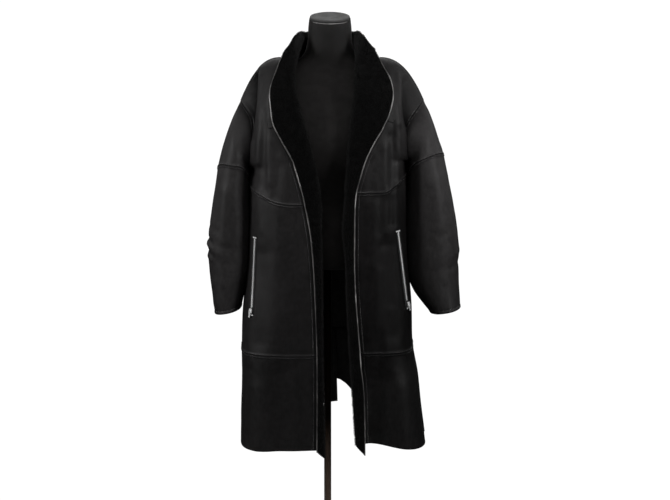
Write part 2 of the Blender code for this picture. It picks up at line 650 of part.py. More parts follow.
def back_panel(name, net, first, last, collection, material):
    """A back panel right across, from both halves of the net."""
    left = net.grids["back_left"][first:last + 1]
    right = net.grids["back_right"][first:last + 1]
    outer = []
    for a, b in zip(left, right):
        centre_first_a = abs(a[0].x - BACK_CENTRE_X) < abs(a[-1].x - BACK_CENTRE_X)
        from_left = list(reversed(a)) if centre_first_a else list(a)
        centre_first_b = abs(b[0].x - BACK_CENTRE_X) < abs(b[-1].x - BACK_CENTRE_X)
        to_right = list(b) if centre_first_b else list(reversed(b))
        outer.append(from_left + to_right[1:])
    inner = [[point - net.normal(point) * WALL for point in row] for row in outer]
    return new_object(name, panel_mesh(name, outer, inner), collection, material)


# ---------------------------------------------------------------- collar and turned-back front edge
def nape_path(start, normal, edge, tree, gap):
    """The leather side of the collar's fall behind the neck, from its fold to its free edge."""
    middle = start.lerp(edge, 0.5) + normal * 0.010 + Vec((0, 0, 0.008))
    path = [start]
    for c in range(1, SHOULDER_COLUMNS + 1):
        f = c / SHOULDER_COLUMNS
        point = start.lerp(middle, f).lerp(middle.lerp(edge, f), f)
        path.append(kept_clear(tree, point, gap + NAPE_LIFT))
    return path


def collar_stations(side, net, tree):
    """Cross-sections of a collar: (fold point, its normal, direction of the fold, path to the free edge)."""
    gap = 2 * FOLD_RADIUS
    front = net.grids["front_" + side]
    if front[-1][0].x * SIDES[side] > front[-1][-1].x * SIDES[side]:
        front = [list(reversed(row)) for row in front]
    nape = back_row(side, 0)
    shoulder_edge = front[0][SHOULDER_COLUMNS]
    reach_x = shoulder_edge.x - BACK_CENTRE_X
    stations = []
    for k in range(NECK_COLUMNS):
        turned = math.pi / 2 * k / NECK_COLUMNS
        fold = nape[k]
        along = nape[k + 1] - nape[k - 1] if k else Vec((1, 0, 0))
        along.normalize()
        normal = net.normal(fold)
        normal = (normal - along * normal.dot(along)).normalized()
        down = along.cross(normal)
        if down.dot(fold - Vec((BACK_CENTRE_X, 0, fold.z))) < 0:
            down.negate()
        edge = Vec((BACK_CENTRE_X + reach_x * math.sin(turned), COLLAR_REACH * math.cos(turned),
                    shoulder_edge.z + gap - COLLAR_EDGE_DROP * math.cos(turned) ** 1.5))
        stations.append((fold, normal, -down, nape_path(fold + normal * gap, normal, edge, tree, gap)))
    for r, row in enumerate(front):
        fold = row[0]
        away = (row[1] - fold).normalized()
        normal = net.normal(fold)
        normal = (normal - away * normal.dot(away)).normalized()
        lifted = gap + COLLAR_LIFT * max(0.0, 1 - ROWS[r] / 3)
        path = [fold + normal * gap]
        for c in range(1, SHOULDER_COLUMNS + 1):
            path.append(row[c] + net.normal(row[c]) * lifted)
        stations.append((fold, normal, -away, path))
    return stations


FOLD_STEPS = 5
EDGE_THINNING = (1.0, 1.0, 1.0, 0.92, 0.6)


def collar_grids(side, net, tree):
    """The leather and fur sides of one collar half, one row for each cross-section."""
    stations = collar_stations(side, net, tree)
    paths = [station[3] for station in stations]
    leather, fur = [], []
    for r, (fold, normal, fold_way, path) in enumerate(stations):
        centre = fold + normal * FOLD_RADIUS
        leather_row, fur_row = [], []
        for k in range(FOLD_STEPS):
            angle = math.pi * k / FOLD_STEPS
            spoke = fold_way * math.sin(angle) - normal * math.cos(angle)
            leather_row.append(centre + spoke * FOLD_RADIUS)
            rim = -net.normal(fold) * WALL if k == 0 else spoke * (FOLD_RADIUS + WALL) + centre - fold
            fur_row.append(fold + rim)
        before = paths[max(r - 1, 0)]
        after = paths[min(r + 1, len(paths) - 1)]
        for c, point in enumerate(path):
            across = path[min(c + 1, len(path) - 1)] - path[max(c - 1, 0)]
            out = (after[c] - before[c]).cross(across)
            if out.dot(normal) < 0:
                out.negate()
            out.normalize()
            if c == 0:
                out = normal.copy()
            if r == 0:
                out.x = 0
                out.normalize()
            leather_row.append(point)
            fur_row.append(point + out * WALL * EDGE_THINNING[c])
        leather.append(leather_row)
        fur.append(fur_row)
    for row in (leather[-1], fur[-1]):
        for i, point in enumerate(row):
            f = max(0, i - FOLD_STEPS // 2) / (len(row) - 1 - FOLD_STEPS // 2)
            drop = FOLD_TAIL[side] + (EDGE_TAIL[side] - FOLD_TAIL[side]) * f
            point.z -= drop * min(1.0, i / 2)
    return leather, fur


def make_collar(side, net, tree, collection, material):
    leather, fur = collar_grids(side, net, tree)
    mesh = panel_mesh("collar_" + side, leather, fur, sides=("top", "start"))
    return new_object("collar_" + side, mesh, collection, material)


# ---------------------------------------------------------------- zips and tabs
def front_hit(tree, x, z):
    """The point of the coat's front straight behind (x, z) as seen from the front, and its normal."""
    place, normal, _, _ = tree.ray_cast(Vec((x, -1.0, z)), Vec((0, 1, 0)))
    if normal.y > 0:
        normal = -normal
    return place, normal


def lying_strip(name, centre_line, width, thickness, tree, collection, material):
    """A thin strip that follows the front along a line of (x, z) points."""
    outer, inner = [], []
    for i, (x, z) in enumerate(centre_line):
        before = centre_line[max(i - 1, 0)]
        after = centre_line[min(i + 1, len(centre_line) - 1)]
        run = Vec((after[0] - before[0], 0, after[1] - before[1])).normalized()
        across = Vec((run.z, 0, -run.x))
        outer_row, inner_row = [], []
        for offset in (-0.5, 0.0, 0.5):
            place, normal = front_hit(tree, x + across.x * offset * width, z + across.z * offset * width)
            inner_row.append(place + normal * LIE_GAP)
            outer_row.append(place + normal * (LIE_GAP + thickness))
        outer.append(outer_row)
        inner.append(inner_row)
    mesh = panel_mesh(name, outer, inner, sides=())
    return new_object(name, mesh, collection, material)


def placed_box(name, size, frame, centre, collection, material, bevel=0.0004):
    """A box with rounded edges, its centre given in a local frame."""
    mesh = bpy.data.meshes.new(name)
    bm = bmesh.new()
    bmesh.ops.create_cube(bm, size=1.0)
    bmesh.ops.scale(bm, vec=Vec(size), verts=bm.verts[:])
    bmesh.ops.bevel(bm, geom=bm.edges[:], offset=bevel, segments=1, affect="EDGES")
    bm.to_mesh(mesh)
    bm.free()
    obj = new_object(name, mesh, collection, material)
    obj.matrix_world = frame @ Matrix.Translation(centre)
    return obj


def window_outline(length, height, window_start, window_length, window_height, window_base):
    """Points of a rectangular outline with a rectangular window, as two closed loops."""
    outer = [(0, 0), (length, 0), (length, height), (0, height)]
    inner = [(window_start, window_base), (window_start + window_length, window_base),
             (window_start + window_length, window_base + window_height),
             (window_start, window_base + window_height)]
    return outer, inner


def windowed_plate(name, outline, thickness):
    """A plate with a window, in its own XY plane, centred on Z."""
    outer, inner = outline
    points = []
    for z in (-thickness / 2, thickness / 2):
        points += [(x, y, z) for x, y in outer + inner]
    faces = []
    for k in range(4):
        n = (k + 1) % 4
        faces.append([k, n, 4 + n, 4 + k])
        faces.append([8 + n, 8 + k, 12 + k, 12 + n])
        faces.append([k, n, 8 + n, 8 + k])
        faces.append([4 + n, 4 + k, 12 + k, 12 + n])
    return mesh_from_faces(name, points, faces)


def zip_frame(tree, x, z, run):
    """A frame on the front at (x, z): X across the zip, Y up along it, Z out of the leather."""
    place, out = front_hit(tree, x, z)
    up = (-run - out * (-run).dot(out)).normalized()
    across = up.cross(out)
    frame = Matrix((across, up, out)).transposed().to_4x4()
    frame.translation = place + out * LIE_GAP
    return frame


def make_slider(name, frame, collection, material):
    """The slider's body with the arch that holds its pull."""
    body = placed_box(name, SLIDER_SIZE, frame, Vec((0, 0, ZIP_THICKNESS + SLIDER_SIZE[2] / 2 + 0.0003)),
                      collection, material, bevel=0.0006)
    outer, inner = window_outline(ARCH_LENGTH, ARCH_HEIGHT + 0.0006, (ARCH_LENGTH - ARCH_WINDOW[0]) / 2,
                                  ARCH_WINDOW[0], ARCH_WINDOW[1], 0.0006)
    mesh = windowed_plate(name + "_arch", (outer, inner), ARCH_THICKNESS)
    top = ZIP_THICKNESS + SLIDER_SIZE[2] + 0.0003
    turn = Matrix(((0, 0, 1, 0), (1, 0, 0, -ARCH_LENGTH / 2), (0, 1, 0, top - 0.0006), (0, 0, 0, 1)))
    mesh.transform(turn)
    join_by_boolean(body, mesh, frame)
    return body


def join_by_boolean(body, mesh, frame):
    """Adds a mesh in the body's frame to the body, as one solid."""
    tool = bpy.data.objects.new(body.name + "_tool", mesh)
    bpy.context.scene.collection.objects.link(tool)
    tool.matrix_world = frame
    modifier = body.modifiers.new("Arch", "BOOLEAN")
    modifier.operation = "UNION"
    modifier.object = tool
    bpy.context.view_layer.update()
    joined = bpy.data.meshes.new_from_object(body.evaluated_get(bpy.context.evaluated_depsgraph_get()))
    body.modifiers.clear()
    body.data = joined
    bpy.data.objects.remove(tool)


def make_pull(name, frame, collection, material):
    """The pull tab, hanging down from the arch; its origin is on its hinge axis."""
    start = PULL_CROSSBAR / 2
    outer = [(-PULL_WIDTH / 2, start), (PULL_WIDTH / 2, start),
             (PULL_WIDTH / 2, start - PULL_LENGTH), (-PULL_WIDTH / 2, start - PULL_LENGTH)]
    window_top = -PULL_CROSSBAR / 2
    inner = [(-PULL_WINDOW[0] / 2, window_top), (PULL_WINDOW[0] / 2, window_top),
             (PULL_WINDOW[0] / 2, window_top - PULL_WINDOW[1]), (-PULL_WINDOW[0] / 2, window_top - PULL_WINDOW[1])]
    obj = new_object(name, windowed_plate(name, (outer, inner), PULL_THICKNESS), collection, material)
    height = ZIP_THICKNESS + SLIDER_SIZE[2] + 0.0003 + PIVOT_HEIGHT
    obj.matrix_world = frame @ Matrix.Translation((0, 0, height))
    return obj


def make_zip(side, tree, collection, materials):
    """A pocket zip: tape with teeth, end bars, and a slider at its lower end with a hanging pull."""
    line = ZIPS[side]
    top = Vec((line.top_x, 0, line.top_z))
    bottom = Vec((line.bottom_x, 0, line.bottom_z))
    run = (bottom - top).normalized()
    name = "zip_" + side
    points = []
    for k in range(ZIP_STEPS + 1):
        point = (top + run * 0.003).lerp(bottom - run * 0.003, k / ZIP_STEPS)
        points.append((point.x, point.z))
    lying_strip(name, points, ZIP_WIDTH, ZIP_THICKNESS, tree, collection, materials["zip"])
    for end, place in (("top", top), ("bottom", bottom)):
        size = BAR_SIZE[end]
        frame = zip_frame(tree, place.x, place.z, run)
        placed_box(name + "_" + end + "_bar", size, frame, Vec((0, 0, size[2] / 2 - BAR_SINK)),
                   collection, materials["metal"], bevel=0.0005)
    slider_place = bottom - run * 0.0105
    frame = zip_frame(tree, slider_place.x, slider_place.z, run)
    make_slider(name + "_slider", frame, collection, materials["metal"])
    make_pull(name + "_pull", frame, collection, materials["metal"])


def make_tab(side, tree, collection, material):
    """A short leather tab, half under the collar's free edge."""
    place = TABS[side]
    out_way = SIDES[side]
    turn = math.radians(place.turn)
    way = Vec((math.cos(turn) * out_way, 0, math.sin(turn) * out_way))
    half = TAB_SIZE[0] / 2
    points = []
    for k in range(5):
        offset = -half + 2 * half * k / 4
        points.append((place.x + way.x * offset, place.z + way.z * offset))
    return lying_strip("tab_" + side, points, TAB_SIZE[1], TAB_SIZE[2], tree, collection, material)


# ---------------------------------------------------------------- dress form and stand
def kept_inside(tree, point):
    """The point, moved in where it would not be clear of the coat's wall."""
    place, normal, _, _ = tree.find_nearest(point)
    depth = (place - point).dot(normal)
    if depth < WALL + REST_GAP:
        return point - normal * (WALL + REST_GAP - depth)
    return point


def make_form(tree, collection, material):
    """The torso with its neck, as one smooth closed body that the coat rests on."""
    top = FORM_RINGS[-1]
    points, faces = [], []
    for ring in FORM_RINGS:
        tilt = math.tan(CAP_TILT) * max(0.0, (ring.z - 1.43) / (top.z - 1.43))
        for c in range(FORM_COLUMNS):
            angle = 2 * math.pi * c / FORM_COLUMNS
            cos, sin = math.cos(angle), math.sin(angle)
            depth = -ring.front if sin < 0 else ring.back
            x = ring.half_width * math.copysign(abs(cos) ** (2 / ring.square), cos)
            y = depth * math.copysign(abs(sin) ** (2 / ring.square), sin)
            point = Vec((FORM_CENTRE_X + x, y, ring.z + y * tilt))
            points.append(kept_inside(tree, point) if ring.z < FORM_NECK_Z else point)
    for r in range(len(FORM_RINGS) - 1):
        for c in range(FORM_COLUMNS):
            n = (c + 1) % FORM_COLUMNS
            a, b = r * FORM_COLUMNS, (r + 1) * FORM_COLUMNS
            faces.append([a + c, a + n, b + n, b + c])
    faces.append(list(range(FORM_COLUMNS)))
    faces.append([(len(FORM_RINGS) - 1) * FORM_COLUMNS + c for c in range(FORM_COLUMNS)])
    return new_object("form_torso", mesh_from_faces("form_torso", points, faces), collection, material)


def turned(name, profile, steps, collection, material):
    """A turned piece from a profile of (radius, z) points, outer side first, top to bottom."""
    mesh = bpy.data.meshes.new(name)
    edges = [(i, i + 1) for i in range(len(profile) - 1)]
    mesh.from_pydata([(r, 0, z) for r, z in profile], edges, [])
    obj = new_object(name, mesh, collection, material)
    screw = obj.modifiers.new("Turn", "SCREW")
    screw.steps = steps
    screw.render_steps = steps
    screw.use_merge_vertices = True
    screw.merge_threshold = 0.00001
    return obj


def make_stand(collection, materials):
    """Neck cap, pole, ferrule and foot."""
    neck = FORM_RINGS[-1]
    cap = turned("form_neck_cap",
                 [(0, CAP_HEIGHT), (CAP_RADIUS - 0.002, CAP_HEIGHT), (CAP_RADIUS, CAP_HEIGHT - 0.002),
                  (CAP_RADIUS, 0), (0, 0)], 36, collection, materials["cap"])
    cap.location = (FORM_CENTRE_X, 0, neck.z + 0.0004)
    cap.rotation_euler = (CAP_TILT, 0, 0)
    turned("stand_pole", [(0, FORM_BASE_Z - SEAM_GAP), (POLE_RADIUS, FORM_BASE_Z - SEAM_GAP),
                          (POLE_RADIUS, FOOT_HEIGHT + SEAM_GAP), (0, FOOT_HEIGHT + SEAM_GAP)],
           24, collection, materials["wood"])
    inner = POLE_RADIUS + SEAM_GAP
    low = FOOT_HEIGHT + SEAM_GAP
    turned("stand_collar", [(inner, low + 0.030), (inner + 0.005, low + 0.030), (inner + 0.007, low + 0.027),
                            (inner + 0.010, low + 0.008), (inner + 0.016, low), (inner, low),
                            (inner, low + 0.030)], 24, collection, materials["foot"])
    turned("stand_foot", [(0, FOOT_HEIGHT), (FOOT_RADIUS * 0.6, FOOT_HEIGHT), (FOOT_RADIUS - 0.006, 0.009),
                          (FOOT_RADIUS, 0.005), (FOOT_RADIUS, 0.0), (0, 0.0)], 48, collection, materials["foot"])


# ---------------------------------------------------------------- materials and assembly
Finish = namedtuple("Finish", "colour roughness metallic")
FINISHES = {
    "leather": Finish((0.012, 0.012, 0.012), 0.42, 0.0),
    "fur": Finish((0.004, 0.004, 0.004), 0.95, 0.0),
    "jersey": Finish((0.010, 0.009, 0.009), 0.90, 0.0),
    "cap": Finish((0.10, 0.10, 0.10), 0.60, 0.0),
    "wood": Finish((0.035, 0.022, 0.014), 0.45, 0.0),
    "foot": Finish((0.02, 0.02, 0.02), 0.40, 0.6),
    "zip": Finish((0.30, 0.30, 0.31), 0.35, 1.0),
    "metal": Finish((0.62, 0.62, 0.62), 0.22, 1.0),
}


def make_material(name, finish):
    material = bpy.data.materials.new(name)
    material.use_nodes = True
    shader = material.node_tree.nodes["Principled BSDF"]
    shader.inputs["Base Color"].default_value = (*finish.colour, 1.0)
    shader.inputs["Roughness"].default_value = finish.roughness
    shader.inputs["Metallic"].default_value = finish.metallic
    return material


def main():
    for obj in list(bpy.data.objects):
        bpy.data.objects.remove(obj)
    collection = bpy.data.collections.new("shearling_coat_on_form")
    bpy.context.scene.collection.children.link(collection)
    materials = {name: make_material(name, finish) for name, finish in FINISHES.items()}

    net, tree = make_net()
    leather = materials["leather"]
    for side in SIDES:
        front = "front_" + side
        body_panel("front_upper_" + side, net, front, 0, CHEST_ROW, collection, leather)
        body_panel("front_middle_" + side, net, front, CHEST_ROW, SKIRT_ROW, collection, leather)
        body_panel("front_lower_" + side, net, front, SKIRT_ROW, HEM_ROW, collection, leather)
        body_panel("back_lower_" + side, net, "back_" + side, SKIRT_ROW, HEM_ROW, collection, leather)
        sleeve = "sleeve_" + side
        body_panel("sleeve_upper_" + side, net, sleeve, 0, HEAD_ROWS, collection, leather)
        body_panel("sleeve_lower_" + side, net, sleeve, HEAD_ROWS, HEAD_ROWS + SLEEVE_ROWS, collection, leather)
        make_collar(side, net, tree, collection, materials["fur"])
        make_zip(side, tree, collection, materials)
        make_tab(side, tree, collection, leather)
    back_panel("back_upper", net, 0, CHEST_ROW, collection, leather)
    back_panel("back_middle", net, CHEST_ROW, SKIRT_ROW, collection, leather)

    make_form(tree, collection, materials["jersey"])
    make_stand(collection, materials)
    for obj in collection.objects:
        obj.data.shade_smooth()


main()
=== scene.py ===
"""Looks of a long shearling coat, worn open on a limbless dress form.

The coat's surface comes from the same sections, lines and rings as its solids, read more finely. Each leather
panel is a thin skin with its seams, stitching and creases, and each has a lining of short fur. Left and right are
as seen from the front. Metres, +Z up, the coat faces -Y.
"""

import math

import bmesh
import bpy
import numpy as np
from mathutils import Matrix, Vector, noise
from mathutils.bvhtree import BVHTree


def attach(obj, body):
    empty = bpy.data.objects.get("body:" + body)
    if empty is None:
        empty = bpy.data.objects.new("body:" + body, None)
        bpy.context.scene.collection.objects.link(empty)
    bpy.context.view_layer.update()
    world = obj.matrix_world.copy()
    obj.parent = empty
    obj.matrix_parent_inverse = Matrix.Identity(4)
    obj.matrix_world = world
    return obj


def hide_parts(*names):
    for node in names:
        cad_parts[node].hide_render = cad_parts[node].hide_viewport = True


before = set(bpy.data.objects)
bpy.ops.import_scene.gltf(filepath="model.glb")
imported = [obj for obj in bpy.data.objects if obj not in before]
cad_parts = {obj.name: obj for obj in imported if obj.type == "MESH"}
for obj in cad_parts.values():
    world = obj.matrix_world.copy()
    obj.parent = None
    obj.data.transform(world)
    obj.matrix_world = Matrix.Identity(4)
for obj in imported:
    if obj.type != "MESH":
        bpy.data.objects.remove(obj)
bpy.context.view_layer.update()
BODY = "coat_on_form"
RANDOM = np.random.default_rng(7)
noise.seed_set(7)            # for the fur's clumps, which would differ in each run

# ---------------------------------------------------------------- sizes shared with the solids
WALL = 0.008
FOLD_RADIUS = 0.0015
COAT_CENTRE_X = 0.0125
BACK_CENTRE_X = 0.010
COLLAR_REACH = 0.122
COLLAR_EDGE_DROP = 0.026
VENT_X = 0.022
SHOULDER_DIP = 0.011
COLLAR_LIFT = 0.003
NAPE_LIFT = 0.011
SHOULDER_COLUMNS = 4
BODY_COLUMNS = 9
NECK_COLUMNS = 4
ARMHOLE_ROWS = 11
TURN_LENGTH = 0.09
FORM_CENTRE_X = 0.0065
POLE_RADIUS = 0.0095
FOOT_RADIUS = 0.17
FOOT_HEIGHT = 0.014
FORM_BASE_Z = 0.858
SIDES = {"left": -1, "right": 1}

#    fold   edge   side   back    left     right    front   back    a.front  a.back turn droop b.droop square lift
SECTIONS = np.array([
    (1.447, 1.390, 1.282, 1.447, -0.2210, 0.2460, 0.0000, 0.0780, 0.0000, 0.0000, 20, 2.45, 1.50, 2.0, 0.000),
    (1.442, 1.386, 1.276, 1.432, -0.2180, 0.2410, -0.0220, 0.0850, -0.0120, 0.0130, 30, 2.50, 1.50, 2.1, 0.000),
    (1.425, 1.372, 1.260, 1.408, -0.2060, 0.2280, -0.0500, 0.0940, -0.0280, 0.0300, 42, 2.30, 1.50, 2.3, 0.000),
    (1.395, 1.345, 1.238, 1.372, -0.1930, 0.2110, -0.0760, 0.1050, -0.0450, 0.0480, 52, 1.90, 1.45, 2.4, 0.000),
    (1.355, 1.312, 1.210, 1.328, -0.1870, 0.1970, -0.0980, 0.1160, -0.0600, 0.0640, 60, 1.60, 1.35, 2.5, 0.002),
    (1.305, 1.270, 1.180, 1.278, -0.1860, 0.1920, -0.1160, 0.1250, -0.0700, 0.0750, 64, 1.40, 1.20, 2.6, 0.006),
    (1.245, 1.218, 1.150, 1.225, -0.1870, 0.1930, -0.1280, 0.1320, -0.0720, 0.0780, 68, 1.20, 1.10, 2.7, 0.010),
    (1.185, 1.165, 1.122, 1.170, -0.1900, 0.1960, -0.1345, 0.1370, -0.0580, 0.0640, 76, 1.10, 1.05, 2.8, 0.016),
    (1.125, 1.112, 1.102, 1.118, -0.1950, 0.2000, -0.1380, 0.1400, 0.0000, 0.0000, 90, 1.00, 1.00, 2.9, 0.024),
    (1.031, 1.033, 1.063, 1.050, -0.1985, 0.2020, -0.1410, 0.1430, 0.0000, 0.0000, 90, 1.00, 1.00, 3.0, 0.030),
    (0.945, 0.945, 0.960, 0.955, -0.2010, 0.2040, -0.1440, 0.1480, 0.0000, 0.0000, 90, 1.00, 1.00, 3.1, 0.020),
    (0.850, 0.850, 0.855, 0.855, -0.2060, 0.2080, -0.1480, 0.1550, 0.0000, 0.0000, 90, 1.00, 1.00, 3.2, 0.013),
    (0.745, 0.745, 0.745, 0.750, -0.2195, 0.2178, -0.1530, 0.1630, 0.0000, 0.0000, 90, 1.00, 1.00, 3.4, 0.009),
    (0.645, 0.645, 0.643, 0.650, -0.2235, 0.2215, -0.1570, 0.1710, 0.0000, 0.0000, 90, 1.00, 1.00, 3.6, 0.007),
    (0.560, 0.560, 0.560, 0.570, -0.2235, 0.2362, -0.1610, 0.1790, 0.0000, 0.0000, 90, 1.00, 1.00, 3.8, 0.008),
    (0.480, 0.480, 0.480, 0.500, -0.2260, 0.2450, -0.1650, 0.1860, 0.0000, 0.0000, 90, 1.00, 1.00, 3.9, 0.010),
    (0.400, 0.400, 0.396, 0.434, -0.2280, 0.2560, -0.1690, 0.1930, 0.0000, 0.0000, 90, 1.00, 1.00, 4.0, 0.014),
])
COLUMN = {name: i for i, name in enumerate(
    "fold_z edge_z side_z back_z left right front_y back_y armhole_front armhole_back turn droop back_droop "
    "square lift".split())}
UNDERARM, CHEST_SEAM, SKIRT_SEAM, HEM = 8, 9, 13, 16

# (z, x) of the fold and of the free side of each turned-back edge
FOLD_LINE = {
    "left": [(1.447, -0.0685), (1.395, -0.0780), (1.334, -0.0844), (1.266, -0.0718), (1.168, -0.0445),
             (1.054, -0.0223), (0.979, -0.0199), (0.790, -0.0176), (0.620, -0.0165), (0.480, -0.0128),
             (0.380, -0.0126)],
    "right": [(1.447, 0.0780), (1.395, 0.0765), (1.341, 0.0737), (1.286, 0.0712), (1.218, 0.0615),
              (1.127, 0.0538), (1.044, 0.0489), (0.969, 0.0440), (0.881, 0.0515), (0.792, 0.0541),
              (0.614, 0.0643), (0.380, 0.0790)],
}
EDGE_LINE = {
    "left": [(1.392, -0.1145), (1.351, -0.1273), (1.308, -0.1410), (1.271, -0.1395), (1.230, -0.1331),
             (1.178, -0.1069), (1.139, -0.0847), (1.062, -0.0626), (0.962, -0.0429), (0.856, -0.0331),
             (0.647, -0.0258), (0.380, -0.0262)],
    "right": [(1.394, 0.1275), (1.358, 0.1440), (1.334, 0.1570), (1.300, 0.1634), (1.265, 0.1570),
              (1.232, 0.1430), (1.164, 0.1063), (1.124, 0.0895), (1.054, 0.0717), (0.960, 0.0685),
              (0.825, 0.0700), (0.614, 0.0851), (0.530, 0.0928), (0.380, 0.0950)],
}
FOLD_TAIL = {"left": 0.020, "right": 0.000}
EDGE_TAIL = {"left": 0.004, "right": 0.030}
HEM_WAVE = {          # (|x|, z)
    "left": [(0.018, 0.003), (0.070, 0.002), (0.130, 0.000), (0.180, -0.002), (0.230, 0.000)],
    "right": [(0.075, 0.005), (0.110, 0.007), (0.150, 0.003), (0.195, -0.002), (0.225, -0.005), (0.258, -0.006)],
}
VENT_RISE = {"left": 0.006, "right": 0.070}
VENT_RISE_REACH = {"left": 0.09, "right": 0.075}
# (x, y) by which the vent's edges move in the looks, so that the left half laps inside the right
VENT_LAP = {"left": (0.0048, -0.0055), "right": (-0.0030, 0.0030)}
VENT_LAP_REACH = 0.045

# outer_x outer_z inner_x inner_z middle_y half_depth skew
SLEEVES = {
    "left": np.array([
        (-0.2440, 1.234, -0.1960, 1.097, 0.002, 0.086, 1.0),
        (-0.2640, 1.179, -0.1980, 1.089, 0.002, 0.094, 1.4),
        (-0.2800, 1.120, -0.1990, 1.072, 0.002, 0.098, 1.8),
        (-0.2895, 1.060, -0.1995, 1.026, 0.000, 0.099, 1.4),
        (-0.3000, 0.998, -0.2000, 0.970, -0.002, 0.096, 1.0),
        (-0.3100, 0.920, -0.2010, 0.905, -0.004, 0.091, 1.0),
        (-0.3070, 0.855, -0.2050, 0.850, -0.008, 0.084, 1.0),
        (-0.3000, 0.795, -0.2120, 0.800, -0.013, 0.076, 1.0),
        (-0.2930, 0.733, -0.2235, 0.748, -0.018, 0.068, 1.0)]),
    "right": np.array([
        (0.2680, 1.234, 0.2020, 1.114, 0.002, 0.086, 1.0),
        (0.2870, 1.179, 0.2040, 1.102, 0.002, 0.093, 1.4),
        (0.2995, 1.142, 0.2050, 1.086, 0.002, 0.096, 1.8),
        (0.3165, 1.062, 0.2050, 1.035, 0.000, 0.096, 1.4),
        (0.3295, 0.998, 0.2050, 0.970, -0.003, 0.092, 1.0),
        (0.3408, 0.915, 0.2050, 0.905, -0.007, 0.086, 1.0),
        (0.3405, 0.850, 0.2070, 0.850, -0.012, 0.079, 1.0),
        (0.3425, 0.795, 0.2215, 0.795, -0.018, 0.073, 1.0),
        (0.3450, 0.750, 0.2660, 0.735, -0.024, 0.067, 1.0)]),
}
SLEEVE_SEAM = 3
SLEEVE_SQUARE = 2.15         # a sleeve's section is a little flatter in front than an ellipse, which is 2
# how far the seam across a sleeve runs above its ring, in parts of the rings' spacing, at every 45 degrees
SEAM_BEND = {"left": (-0.21, 0.04, 0.28, 0.76, 0.45, 0.05, -0.08, -0.14, -0.21),
             "right": (0.0, 0.18, 0.48, 0.96, 0.55, 0.10, -0.05, -0.04, 0.0)}
# (x, drop): how far the chest seam sags below its row in front
CHEST_SAG = {"left": [(-0.191, 0.0), (-0.176, 0.004), (-0.159, 0.009), (-0.141, 0.015), (-0.124, 0.016),
                      (-0.107, 0.015), (-0.092, 0.013), (-0.074, 0.009), (-0.055, 0.004), (-0.030, 0.0)],
             "right": [(0.050, 0.0), (0.075, 0.006), (0.110, 0.013), (0.130, 0.018), (0.148, 0.021),
                       (0.160, 0.018), (0.174, 0.009), (0.188, 0.0)]}
ROW_SPACING = 0.090          # height between rows of SECTIONS by the chest seam
FOLD_SHARE = 0.10            # the leather's elbow folds are this much of the solids'
SLEEVE_CLEARANCE = 0.0008
PRESS = 0.0045               # a sleeve leans on the body by this much at the rings by the elbow
PRESSED_RINGS = (4, 5, 6)

# face x0 z0 x1 z1 width depth: the folds that the solids have too, softer at the right hem
FOLDS = [
    ("front", -0.205, 0.60, -0.212, 0.42, 0.016, 0.005), ("front", -0.120, 0.60, -0.125, 0.38, 0.030, 0.006),
    ("front", -0.165, 0.90, -0.172, 0.68, 0.022, 0.005), ("front", -0.150, 1.22, -0.175, 1.08, 0.018, 0.004),
    ("front", 0.135, 0.58, 0.128, 0.38, 0.030, 0.010), ("front", 0.195, 0.56, 0.203, 0.38, 0.030, -0.007),
    ("front", 0.150, 0.92, 0.165, 0.70, 0.022, 0.005), ("front", 0.160, 1.20, 0.175, 1.10, 0.018, 0.004),
    ("back", -0.090, 1.15, -0.125, 0.42, 0.040, 0.010), ("back", 0.105, 1.15, 0.150, 0.42, 0.040, 0.010),
    ("back", -0.020, 0.95, -0.030, 0.70, 0.040, -0.006),
    ("sleeve", -0.312, 0.935, -0.235, 0.905, 0.011, 0.007), ("sleeve", -0.312, 0.885, -0.240, 0.868, 0.011, 0.007),
    ("sleeve", -0.245, 0.965, -0.300, 0.985, 0.014, 0.004), ("sleeve", 0.345, 0.930, 0.270, 0.905, 0.013, 0.006),
    ("sleeve", 0.340, 0.870, 0.255, 0.850, 0.013, 0.006), ("sleeve", 0.270, 0.985, 0.320, 1.010, 0.016, 0.004),
]

# ---------------------------------------------------------------- sizes of the looks alone
CELL = 0.0046                # spacing of the fine net
SEAM_STEPS = (0.0006, 0.0012, 0.0019, 0.0027, 0.0034, 0.0041, 0.0050, 0.0065, 0.0085)
STITCH_OFFSET = 0.0034       # a row of stitches runs this far from its seam, on both sides
STITCH_PITCH = 0.0038
STITCH_LENGTH = 0.0027
EDGE_STITCH = 0.0098         # from the turned-back edge to the row beside it
CUFF_STITCH = 0.0082
SKIN = 0.0014                # leather alone
PILE = 0.0048                # length of the fur that stands free
PILE_WIDTH = 0.00055
PILE_COUNT = 90000           # blades on each collar
PILE_LEAN, PILE_CLUMP, PILE_SPREAD = 0.40, 0.42, 0.20        # against the normal's 1
CLUMPS = 120                 # in a metre
FUR_ROUGHNESS = 0.0007
LINING_SHORT = 0.0012        # the fur behind a panel stops this far short of its solid's inner side
SHOWN_CLEARANCE = 0.0005     # a sleeve's leather stays this far from the body's, but for its first rows
FREE_ROWS = 4
BINDING_RADIUS, BINDING_STEP = 0.0016, 0.004
SEAM_GAP = 0.0003            # between neighbouring hard pieces


# ---------------------------------------------------------------- curves and tables
def bell(distance, width, power=2):
    return np.exp(-(distance / width) ** power)


def unit(vectors, least=1e-9):
    return vectors / np.maximum(np.linalg.norm(vectors, axis=-1, keepdims=True), least)


def run_length(line):
    """The length of a line up to each of its points."""
    return np.concatenate([[0], np.cumsum(np.linalg.norm(np.diff(line, axis=0), axis=-1))])


def read_line(points, length, at):
    """Points or normals along a line, read where its length is at."""
    return np.stack([np.interp(at, length, points[:, k]) for k in range(3)], axis=-1)


def segment_distance(points, x0, z0, x1, z1):
    """How far the points are, seen from the front, from a straight segment."""
    step = np.array((x1 - x0, z1 - z0))
    flat = points[..., [0, 2]] - np.array((x0, z0))
    along = np.clip((flat @ step) / (step @ step), 0, 1)
    return np.linalg.norm(flat - along[..., None] * step, axis=-1)


